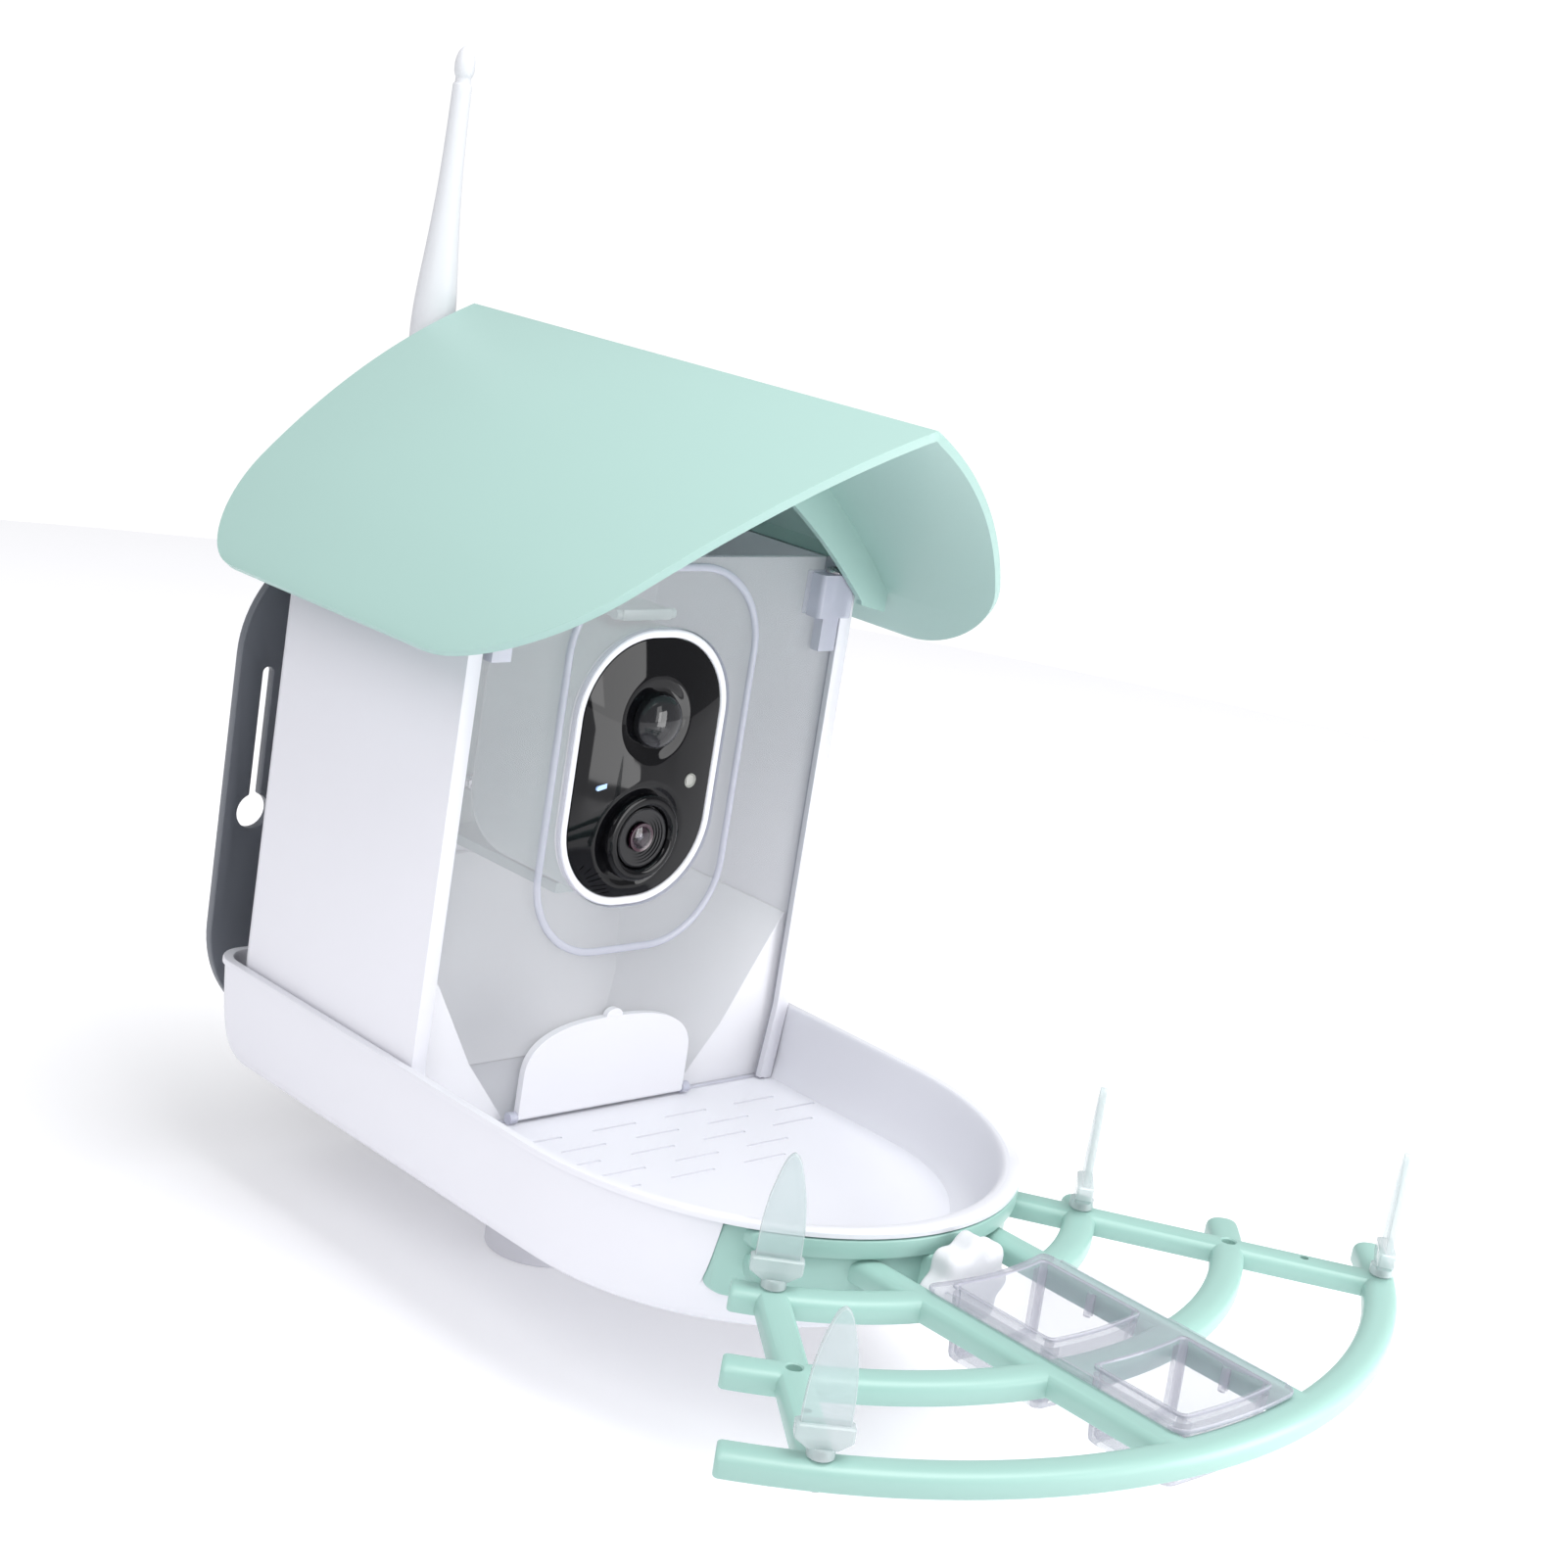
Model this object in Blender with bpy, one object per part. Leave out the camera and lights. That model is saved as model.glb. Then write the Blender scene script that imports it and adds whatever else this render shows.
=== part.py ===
"""Smart bird feeder: a gabled seed house on a D-shaped tray, with a camera, a lift-off roof and a fan perch.

Metres, +Z up. The origin is the centre of the pole socket's foot, -Y is the front, where the perch fans out,
and X is square to the plane of symmetry.
"""
import math

import bmesh
import bpy
from mathutils import Matrix, Vector

# Fits and making
GAP = 0.0003
FUSE = 0.0005
OVERRUN = 0.0030
MERGE = 0.000001
SHARP_DEGREES = 32

# Pole socket under the tray
SOCKET_LENGTH = 0.0497
SOCKET_RADIUS = 0.0188
SOCKET_BORE_RADIUS = 0.0150
SOCKET_ROOF = 0.0030
SOCKET_FLANGE_RADIUS = 0.0290
SOCKET_FLANGE = 0.0028
SOCKET_SCREW_CIRCLE = 0.0240

# Screws
SCREW_RADIUS = 0.0015
SCREW_HEAD_RADIUS = 0.0029
SCREW_HEAD = 0.0017
SCREW_BITE = 0.0055
SCREW_SIDES = 8

# Tray
TRAY_SIDE_MARGIN = 0.0034
TRAY_DEPTH = 0.0394
TRAY_REAR_Y = 0.0900
NOSE_START_Y = -0.0800
NOSE_LENGTH = 0.0960
TRAY_CORNER = 0.0110
BOWL_DEPTH = 0.0264
FLOOR_THICKNESS = 0.0025
RIM_WIDTH = 0.0028
RIM_WIDTH_AT_NOSE = 0.0040
LIP_HEIGHT = 0.0020
LIP_OVERHANG = 0.0007
BASE_INSET = 0.0134
BASE_INSET_AT_NOSE = 0.0220
BASE_INSET_AT_REAR = 0.0100
BOWL_INSET = 0.0058
BOWL_INSET_AT_NOSE = 0.0280
BOWL_INSET_AT_REAR = 0.0040
SKIRT_THICKNESS = 0.0025
PAD_RADIUS = 0.0305
PAD_DROP = 0.0045
OUTER_WALL_SHARES = ((0.0, 1.0, 1.0), (0.076, 0.63, 0.73), (0.254, 0.33, 0.45), (0.558, 0.16, 0.23))
BOWL_WALL_SHARES = ((0.11, 0.20, 0.19), (0.735, 0.47, 0.50), (1.0, 1.0, 1.0))

# Drain grooves in the tray's floor
GROOVE_LENGTH = 0.0185
GROOVE_WIDTH = 0.0013
GROOVE_DEPTH = 0.0006
GROOVE_PITCH_X = 0.0310
GROOVE_PITCH_Y = 0.0098
GROOVE_SETBACK = 0.0135
GROOVE_ROWS = 5

# House
HOUSE_FRONT_Y = -0.0200
HOUSE_BACK_Y = 0.0767
HOUSE_HALF_WIDTH = 0.0800
HOUSE_TOP_DRAFT = 0.0010
HOUSE_FOOT_INSET = 0.0028
HOUSE_FOOT_HEIGHT = 0.0267
HOUSE_HEIGHT = 0.1822
HOUSE_WALL = 0.0030
HOUSE_CORNER = 0.0045
FRONT_LIP = 0.0022
FRONT_LIP_REACH = 0.0023
BASE_BOSS_RADIUS = 0.0042
BASE_BOSS_HEIGHT = 0.0115
BASE_BOSS_INSET = 0.0150

# Clear front panel
PANEL_THICKNESS = 0.0022
PANEL_RISE = 0.0025
PANEL_CORNER = 0.0040
BEAD_HALF_WIDTH = 0.0400
BEAD_HALF_HEIGHT = 0.0645
BEAD_CORNER = 0.0290
BEAD_RISE_ABOVE_CAMERA = 0.0028
BEAD_WIDTH = 0.0026
BEAD_HEIGHT = 0.0012
BLOCK_WIDTH = 0.0157
BLOCK_HEIGHT = 0.0145
BLOCK_DEPTH = 0.0088
BLOCK_PROUD = 0.0057
BLOCK_SCREW_SETBACK = 0.0022
BLOCK_DROP = 0.0050
BLOCK_CORNER = 0.0015
POST_HEIGHT = 0.0115
POST_WIDTH = 0.0072
POST_DEPTH = 0.0040
OUTLET_HALF_WIDTH = 0.0265
OUTLET_HEIGHT = 0.0210
OUTLET_SILL = 0.0048

# Seed gate
GATE_HALF_WIDTH = 0.0350
GATE_HEIGHT = 0.0318
GATE_THICKNESS = 0.0025
GATE_SHAPE = 2.6
GATE_FLOOR_GAP = 0.0008
GATE_PANEL_GAP = 0.0004
GATE_NUB_RADIUS = 0.0034
GATE_NUB_RISE = 0.0026
GATE_PIN_RADIUS = 0.0009
GATE_PIN_LENGTH = 0.0026
LUG_WIDTH = 0.0030
LUG_RADIUS = 0.0019

# Seed funnel
FUNNEL_SHEET = 0.0020
FUNNEL_EDGE = 0.0012
FUNNEL_HEIGHT = 0.0592
FUNNEL_KNEE_HEIGHT = 0.0212
FUNNEL_KNEE_HALF_WIDTH = 0.0535
FUNNEL_MOUTH_HALF_WIDTH = 0.0368
FUNNEL_KNEE_DEPTH = 0.0560
FUNNEL_MOUTH_DEPTH = 0.0420

# Roof
EAVE_OVERHANG = 0.0227
ROOF_SEAT = 0.00240
ROOF_FALL = 0.0833
ROOF_FRONT_REACH = 0.0969
ROOF_RAKE = 0.0547
ROOF_REAR_REACH = 0.0253
ROOF_SHEET = 0.0028
ROOF_SECTION_SHARES = (0.531, 0.339, 0.130)
ROOF_RAKE_SHARES = (0.846, 0.154)
EAVE_ROUND = 0.0260
EAVE_ROUND_FRONT = 0.0360
EAVE_ROUND_REAR = 0.0280
RIB_DEPTH = 0.0198
RIB_THICKNESS = 0.0024
RIB_ARCH_HALF_WIDTH = 0.0373
RIB_SIDE_REACH = 0.0080
RIB_SIDE_DEPTH = 0.0038
RIB_FOOT_DROP = 0.0144
RIB_FOOT_SLOPE = 0.0025
FRONT_RIB_SETBACK = 0.0036
REAR_RIB_SETBACK = 0.0006
SIDE_RIB_THICKNESS = 0.0022

# Rear mounting plate
PLATE_SIDE_SETBACK = 0.0020
PLATE_FOOT_RISE = 0.0045
PLATE_TOP_CLEARANCE = 0.0145
PLATE_CORNER = 0.0400
PLATE_THICKNESS = 0.0032
PLATE_STANDOFF = 0.0223
KEYHOLE_SETBACK = 0.0113
KEYHOLE_RISE = 0.0792
KEYHOLE_RADIUS = 0.0060
KEYHOLE_SLOT_RADIUS = 0.0019
KEYHOLE_SLOT_LENGTH = 0.0480
STANDOFF_RADIUS = 0.0050
STANDOFF_HALF_SPACING = 0.0410
STANDOFF_RISE = 0.0545
STANDOFF_DROP = 0.0140

# Camera unit
CAMERA_RISE = 0.11575
BEZEL_HALF_WIDTH = 0.0314
BEZEL_HALF_HEIGHT = 0.04575
BEZEL_CORNER = 0.0285
BEZEL_WIDTH = 0.0031
BEZEL_DEPTH = 0.0030
BEZEL_ROUND = 0.0008
BEZEL_CLEARANCE = 0.0004
BEZEL_SETBACK = 0.0004
FACE_BULGE = 0.0034
FACE_SETBACK = 0.0004
FACE_THICKNESS = 0.0022
FACE_DOME_SHARES = (1.0, 0.80, 0.50)
HOUSING_INSET = 0.0009
HOUSING_DEPTH = 0.0500
HOUSING_ROUND = 0.0080
HOUSING_WALL = 0.0022
BOARD_THICKNESS = 0.0016
BOARD_SETBACK = 0.0060
BOARD_HEIGHT_SHARE = 0.84
BATTERY_RADIUS = 0.0091
BATTERY_LENGTH = 0.0500
BATTERY_DROP = 0.0030
SPEAKER_RADIUS = 0.0090
SPEAKER_DEPTH = 0.0040
SPEAKER_SETBACK = 0.01985
PIR_RADIUS = 0.0090
PIR_RISE_SHARE = 0.3904
PIR_BULGE = 0.0042
PIR_FLANGE = 0.0012
LENS_DROP_SHARE = 0.5147
LENS_RING_RADIUS = 0.0145
LENS_RING_BORE = 0.0104
LENS_RING_PROUD = 0.0014
LENS_RING_CHAMFER = 0.0008
LENS_BARREL_SETBACK = 0.0008
LENS_RECESS = 0.0022
LENS_RECESS_RADIUS = 0.0068
LENS_GLASS_BULGE = 0.0014
LENS_GLASS_EDGE = 0.0006
DETAIL_SIDE_SHARE = 0.643
DETAIL_DROP_SHARE = 0.1008
DETAIL_PROUD = 0.0002
LED_HALF_LENGTH = 0.0026
LED_RADIUS = 0.0008
SENSOR_RADIUS = 0.0024
BUTTON_RADIUS = 0.0032
BUTTON_PROUD = 0.0014
BUTTON_FLANGE = 0.0010
BUTTON_SETBACK = 0.01385
FLAP_HALF_WIDTH = 0.0075
FLAP_HEIGHT = 0.0090
FLAP_THICKNESS = 0.0015
FLAP_DROP = 0.0120
PORT_HALF_WIDTH = 0.0046
PORT_HALF_HEIGHT = 0.0018

# Camera bracket
ARM_HALF_WIDTH = 0.0100
ARM_THICKNESS = 0.0040
ARM_RISE = 0.0015
ARM_SETBACK = 0.0064
SHELF_SETBACK = 0.0200
SPINE_HALF_WIDTH = 0.0160
SPINE_THICKNESS = 0.0030
NUB_RADIUS = 0.0018
NUB_REACH = 0.0024
BRACKET_SCREW_RISE = 0.0300

# Antenna
ANTENNA_X = -0.0090
ANTENNA_PIVOT_Y = 0.1115
ANTENNA_PIVOT_RISE = 0.0025
ANTENNA_LENGTH = 0.1475
ANTENNA_RADIUS = 0.0073
ANTENNA_SHARES = ((0.000, 0.66), (0.012, 0.73), (0.200, 0.86), (0.345, 1.00), (0.405, 0.99), (0.455, 0.93),
                  (0.550, 0.76), (0.640, 0.62), (0.720, 0.53), (0.912, 0.44), (0.917, 0.36),
                  (0.927, 0.36), (0.933, 0.45), (0.975, 0.41), (0.993, 0.22))
ANTENNA_BELOW_PIVOT = 0.0050
STUB_RADIUS = 0.0030
STUB_REACH = 0.0100
STUB_BEHIND_NUT = 0.0006
SOCKET_COLLAR_RADIUS = 0.0060
SOCKET_COLLAR = 0.0020
NUT_RADIUS = 0.0056
NUT_THICKNESS = 0.0030
SLEEVE_RADIUS = 0.0055
SLEEVE_END_SETBACK = 0.0115
TONGUE_HALF_THICKNESS = 0.0022
KNUCKLE_RADIUS = 0.0047
KNUCKLE_PIN_RADIUS = 0.0010
KNUCKLE_PIN_HALF_LENGTH = 0.0048

# Perch frame
PERCH_DROP = 0.0094
ARC_CENTRE_SETBACK = 0.0800
ARC_FIRST_RADIUS = 0.0986
ARC_SPACINGS = (0.0455, 0.0459)
ARC_END_DEGREES = (48.0, 47.0, 46.2)
SPOKE_DEGREES = (41.3, 39.6, 38.65)
BEAM_WIDTH = 0.0124
BEAM_HEIGHT = 0.0130
BEAM_CROWN = 0.0044
BEAM_STEP = 0.0003
CENTRE_BEAM_X = 0.02635
BAND_WIDTH_SHARE = 0.729
BAND_HEIGHT = 0.0221
BAND_INSET = 0.0022
BAND_THICKNESS = 0.0020
BAND_FLANGE_HEIGHT = 0.0061
BAND_FLANGE_SETBACK = 0.0045
BAND_BOSS_HALF_WIDTH = 0.0088
BAND_BOSS_PROUD = 0.0021
BAND_BOSS_HEIGHT = 0.0158
SPIKE_HOLE_RADIUS = 0.0022
DIMPLE_RADIUS = 0.0013
DIMPLE_DEPTH = 0.0030

# Star knob and its stud
KNOB_RADIUS = 0.0153
KNOB_LOBE_DEPTH = 0.0024
KNOB_LOBES = 8
KNOB_THICKNESS = 0.0091
KNOB_DROP = 0.0157
KNOB_SHARES = ((0.0, 0.90), (0.15, 1.00), (0.72, 1.00), (0.94, 0.86), (1.0, 0.66))
STUD_RADIUS = 0.0022
STUD_IN_KNOB = 0.0050
INSERT_RADIUS = 0.0036
INSERT_LENGTH = 0.0045

# Cup insert
CUP_FLANGE_HALF_WIDTH = 0.0255
CUP_FLANGE = 0.0016
CUP_FLANGE_OVERLAP = 0.0045
CUP_FLANGE_BEHIND = 0.0030
CUP_FIRST_RADIUS = 0.0996
CUP_WALL = 0.0014
CUP_DEPTH = 0.0203
CUP_DRAFT = 0.0014
CUP_LIP = 0.0010
CUP_CLEARANCE = 0.0008

# Fruit spikes
SPIKE_HEIGHT = 0.0397
SPIKE_PIN_RADIUS = 0.0019
SPIKE_PIN_LENGTH = 0.0090
SPIKE_COLLAR_RADIUS = 0.0036
SPIKE_COLLAR = 0.0029
SPIKE_BLOCK = 0.0057
SPIKE_BLOCK_HALF_WIDTH = 0.0074
SPIKE_BLOCK_FOOT_HALF_WIDTH = 0.0045
SPIKE_BLOCK_HALF_DEPTH = 0.0025
SPIKE_BLADE_HALF_WIDTH = 0.0063
SPIKE_BLADE_HALF_DEPTH = 0.0011
SPIKE_LEAF_SHARES = ((0.0, 1.00), (0.30, 0.96), (0.55, 0.82), (0.75, 0.60), (0.90, 0.38), (0.98, 0.17))

# Widths, heights and planes that follow from the sizes above
TRAY_HALF_WIDTH = HOUSE_HALF_WIDTH + TRAY_SIDE_MARGIN
ROOF_HALF_WIDTH = HOUSE_HALF_WIDTH + EAVE_OVERHANG
RIB_HALF_WIDTH = HOUSE_HALF_WIDTH + RIB_SIDE_REACH
RIB_INNER_HALF_WIDTH = HOUSE_HALF_WIDTH - RIB_SIDE_DEPTH
PLATE_HALF_WIDTH = HOUSE_HALF_WIDTH - PLATE_SIDE_SETBACK
BAND_HALF_WIDTH = TRAY_HALF_WIDTH * BAND_WIDTH_SHARE
FACE_HALF_WIDTH = BEZEL_HALF_WIDTH - BEZEL_WIDTH
FACE_HALF_HEIGHT = BEZEL_HALF_HEIGHT - BEZEL_WIDTH
DETAIL_X = FACE_HALF_WIDTH * DETAIL_SIDE_SHARE
PAD_Z = SOCKET_LENGTH + GAP
FLOOR_UNDER_Z = PAD_Z + PAD_DROP
FLOOR_Z = FLOOR_UNDER_Z + FLOOR_THICKNESS
RIM_Z = FLOOR_Z + BOWL_DEPTH
TRAY_FOOT_Z = RIM_Z - TRAY_DEPTH
HOUSE_FOOT_Z = FLOOR_Z + GAP
HOUSE_TOP_Z = HOUSE_FOOT_Z + HOUSE_HEIGHT
HOUSE_KNEE_Z = HOUSE_FOOT_Z + HOUSE_FOOT_HEIGHT
BACK_WALL_Y = HOUSE_BACK_Y - HOUSE_WALL
PANEL_FRONT_Y = HOUSE_FRONT_Y + FRONT_LIP + GAP
PANEL_BACK_Y = PANEL_FRONT_Y + PANEL_THICKNESS
PANEL_TOP_Z = HOUSE_TOP_Z + PANEL_RISE
BLOCK_TOP_Z = PANEL_TOP_Z - BLOCK_DROP
BLOCK_FOOT_Z = BLOCK_TOP_Z - BLOCK_HEIGHT
FUNNEL_FRONT_Y = PANEL_BACK_Y + GAP
CAMERA_Z = FLOOR_Z + CAMERA_RISE
BEZEL_FRONT_Y = PANEL_FRONT_Y + BEZEL_SETBACK
BEZEL_BACK_Y = BEZEL_FRONT_Y + BEZEL_DEPTH
FACE_EDGE_Y = BEZEL_FRONT_Y + FACE_SETBACK
FACE_BACK_Y = FACE_EDGE_Y + FACE_THICKNESS
HOUSING_FRONT_Y = BEZEL_BACK_Y + GAP
HOUSING_BACK_Y = HOUSING_FRONT_Y + HOUSING_DEPTH
HOUSING_HALF_WIDTH = BEZEL_HALF_WIDTH - HOUSING_INSET
HOUSING_HALF_HEIGHT = BEZEL_HALF_HEIGHT - HOUSING_INSET
BOARD_Y = FACE_BACK_Y + BOARD_SETBACK
BUTTON_Z = CAMERA_Z + HOUSING_HALF_HEIGHT - BUTTON_SETBACK
SPEAKER_Z = CAMERA_Z - HOUSING_HALF_HEIGHT + SPEAKER_SETBACK
PIVOT_Z = HOUSE_TOP_Z + ANTENNA_PIVOT_RISE
PLATE_FRONT_Y = HOUSE_BACK_Y + GAP + PLATE_STANDOFF
PLATE_FOOT_Z = TRAY_FOOT_Z + PLATE_FOOT_RISE
PLATE_TOP_Z = PIVOT_Z - SLEEVE_RADIUS - PLATE_TOP_CLEARANCE
ARC_RADII = (ARC_FIRST_RADIUS, ARC_FIRST_RADIUS + ARC_SPACINGS[0], ARC_FIRST_RADIUS + sum(ARC_SPACINGS))
PERCH_Z = RIM_Z - PERCH_DROP
BAND_TOP_Z = RIM_Z - LIP_HEIGHT - GAP
KNOB_Z = RIM_Z - KNOB_DROP
NOSE_Y = NOSE_START_Y - NOSE_LENGTH
ARC_CENTRE_Y = NOSE_Y + ARC_CENTRE_SETBACK
BAND_BACK_INSET = BAND_INSET + BAND_THICKNESS
GATE_AXIS_Y = PANEL_FRONT_Y - GATE_PANEL_GAP - GATE_THICKNESS / 2
GATE_AXIS_Z = HOUSE_FOOT_Z + GATE_FLOOR_GAP + GATE_THICKNESS / 2


# Ways of making solids
def make(name, mesh_builder):
    """Turns a bmesh into an object with its faces pointing out."""
    bmesh.ops.recalc_face_normals(mesh_builder, faces=mesh_builder.faces)
    mesh = bpy.data.meshes.new(name)
    mesh_builder.to_mesh(mesh)
    mesh_builder.free()
    piece = bpy.data.objects.new(name, mesh)
    bpy.context.collection.objects.link(piece)
    return piece


def loft(name, rings, closed=False):
    """Skins a row of rings; the ends are capped, or joined to each other when closed."""
    builder = bmesh.new()
    rows = [[builder.verts.new(point) for point in ring] for ring in rings]
    pairs = list(zip(rows, rows[1:]))
    if closed:
        pairs.append((rows[-1], rows[0]))
    for first, second in pairs:
        for index in range(len(first)):
            after = (index + 1) % len(first)
            builder.faces.new((first[index], first[after], second[after], second[index]))
    if not closed:
        builder.faces.new(rows[0])
        builder.faces.new(rows[-1])
    return make(name, builder)


def at_height(outline, z):
    return [(x, y, z) for x, y in outline]


def at_depth(outline, y):
    return [(x, y, z) for x, z in outline]


def at_side(outline, x):
    return [(x, y, z) for y, z in outline]


def prism(name, outline, low, high, place=at_height):
    """Extrudes an outline between two planes."""
    return loft(name, [place(outline, low), place(outline, high)])


def box(name, x_low, x_high, y_low, y_high, z_low, z_high):
    return prism(name, [(x_low, y_low), (x_high, y_low), (x_high, y_high), (x_low, y_high)], z_low, z_high)


def turned(name, profile, sides, centre, along="Z", hollow=False):
    """Spins a profile of (radius, distance along the axis) round an axis through the centre."""
    builder = bmesh.new()
    points = [builder.verts.new((radius, 0, height)) for radius, height in profile]
    edges = [builder.edges.new(pair) for pair in zip(points, points[1:])]
    if hollow:
        edges.append(builder.edges.new((points[-1], points[0])))
    bmesh.ops.spin(builder, geom=points + edges, cent=(0, 0, 0), axis=(0, 0, 1), angle=math.tau, steps=sides)
    bmesh.ops.remove_doubles(builder, verts=builder.verts, dist=MERGE)
    turn = {"Z": Matrix(), "Y": Matrix.Rotation(-math.pi / 2, 4, "X"), "X": Matrix.Rotation(math.pi / 2, 4, "Y")}
    bmesh.ops.transform(builder, matrix=Matrix.Translation(centre) @ turn[along], verts=builder.verts)
    return make(name, builder)


def rod(name, radius, low, high, sides, centre, along="Z"):
    return turned(name, [(0, low), (radius, low), (radius, high), (0, high)], sides, centre, along)


def tube(name, radius, bore, low, high, sides, centre, along="Z"):
    profile = [(bore, low), (radius, low), (radius, high), (bore, high)]
    return turned(name, profile, sides, centre, along, hollow=True)


def combine(body, tools, operation):
    """Applies Booleans to the body and removes the tools."""
    for tool in tools:
        modifier = body.modifiers.new("Boolean", "BOOLEAN")
        modifier.operation = operation
        modifier.solver = "EXACT"
        modifier.object = tool
    depsgraph = bpy.context.evaluated_depsgraph_get()
    mesh = bpy.data.meshes.new_from_object(body.evaluated_get(depsgraph))
    body.modifiers.clear()
    body.data = mesh
    for tool in tools:
        bpy.data.objects.remove(tool, do_unlink=True)
    return body


def fused(body, *tools):
    return combine(body, tools, "UNION")


def cut(body, *tools):
    return combine(body, tools, "DIFFERENCE")


def screw(name, length, centre, along="Z", direction=1):
    """A plain screw: its head rests at the centre and its shank runs along the axis."""
    head = -direction * SCREW_HEAD
    profile = [(0, head), (SCREW_HEAD_RADIUS, head), (SCREW_HEAD_RADIUS, 0), (SCREW_RADIUS, 0),
               (SCREW_RADIUS, direction * length), (0, direction * length)]
    return turned(name, profile, SCREW_SIDES, centre, along)


def screw_hole(low, high, centre, along="Z"):
    return rod("hole", SCREW_RADIUS + GAP, low, high, SCREW_SIDES, centre, along)


def numbered(name, pieces):
    """Names alike pieces in turn."""
    for number, piece in enumerate(pieces, 1):
        piece.name = name + "_" + str(number)
    return pieces


def rounded(half_width, half_height, corner, steps=6):
    """A rectangle with round corners, centred on zero."""
    corner = min(corner, half_width, half_height)
    points = []
    for quarter, (side, end) in enumerate(((1, 1), (-1, 1), (-1, -1), (1, -1))):
        for step in range(steps + 1):
            angle = math.pi / 2 * (quarter + step / steps)
            points.append((side * (half_width - corner) + corner * math.cos(angle),
                           end * (half_height - corner) + corner * math.sin(angle)))
    return points


def shifted(outline, first, second):
    return [(a + first, b + second) for a, b in outline]


def nose_point(inset, angle):
    """A point on the tray's elliptical nose, drawn in by the inset; angle zero is its tip."""
    return ((TRAY_HALF_WIDTH - inset) * math.sin(angle), NOSE_START_Y - (NOSE_LENGTH - inset) * math.cos(angle))


def tray_ring(z, side, nose, rear, steps=20, corner_steps=3):
    """The tray's D at one height, drawn in by its own amount at the sides, the nose and the rear."""
    half = TRAY_HALF_WIDTH - side
    points = []
    for step in range(steps + 1):
        angle = math.pi * (step / steps - 0.5)
        points.append((half * math.sin(angle), NOSE_START_Y - (NOSE_LENGTH - nose) * math.cos(angle), z))
    corner = TRAY_CORNER - side / 2
    back = TRAY_REAR_Y - rear
    for step in range(corner_steps + 1):
        angle = math.pi / 2 * step / corner_steps
        points.append((half - corner + corner * math.cos(angle), back - corner + corner * math.sin(angle), z))
    for step in range(corner_steps + 1):
        angle = math.pi / 2 * (1 + step / corner_steps)
        points.append((-half + corner + corner * math.cos(angle), back - corner + corner * math.sin(angle), z))
    return points


def band_outline(outer_inset, inner_inset, half_width, steps=14):
    """A strip that follows the nose between two insets, with its ends cut square to X."""
    points = []
    for inset, direction in ((outer_inset, 1), (inner_inset, -1)):
        reach = math.asin(half_width / (TRAY_HALF_WIDTH - inset))
        for step in range(steps + 1):
            points.append(nose_point(inset, direction * reach * (2 * step / steps - 1)))
    return points


def arc_point(radius, angle, z=0):
    return Vector((radius * math.sin(angle), ARC_CENTRE_Y - radius * math.cos(angle), z))


# Places that several pieces share
def base_boss_places():
    inset = BASE_BOSS_INSET
    side = HOUSE_HALF_WIDTH - HOUSE_FOOT_INSET - HOUSE_WALL - BASE_BOSS_RADIUS + FUSE
    return [(s * side, y) for s in (-1, 1) for y in (HOUSE_FRONT_Y + inset, HOUSE_BACK_Y - inset)]


def socket_screw_places():
    return [(SOCKET_SCREW_CIRCLE * math.cos(a), SOCKET_SCREW_CIRCLE * math.sin(a))
            for a in (math.pi / 4 + math.pi / 2 * k for k in range(4))]


def standoff_places():
    low, high = PLATE_FOOT_Z + STANDOFF_RISE, PLATE_TOP_Z - STANDOFF_DROP
    return [(side * STANDOFF_HALF_SPACING, z) for side in (-1, 1) for z in (low, high)]


def bracket_screw_places():
    return [(0, CAMERA_Z + side * BRACKET_SCREW_RISE) for side in (-1, 1)]


def house_half_width(z):
    """Half the house's outer width at a height: drawn in at the foot, and slightly towards the eaves."""
    if z < HOUSE_KNEE_Z:
        return HOUSE_HALF_WIDTH - HOUSE_FOOT_INSET * (HOUSE_KNEE_Z - z) / HOUSE_FOOT_HEIGHT
    return HOUSE_HALF_WIDTH - HOUSE_TOP_DRAFT * (z - HOUSE_KNEE_Z) / (HOUSE_TOP_Z - HOUSE_KNEE_Z)


def room_half_width(z):
    return house_half_width(z) - HOUSE_WALL


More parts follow.
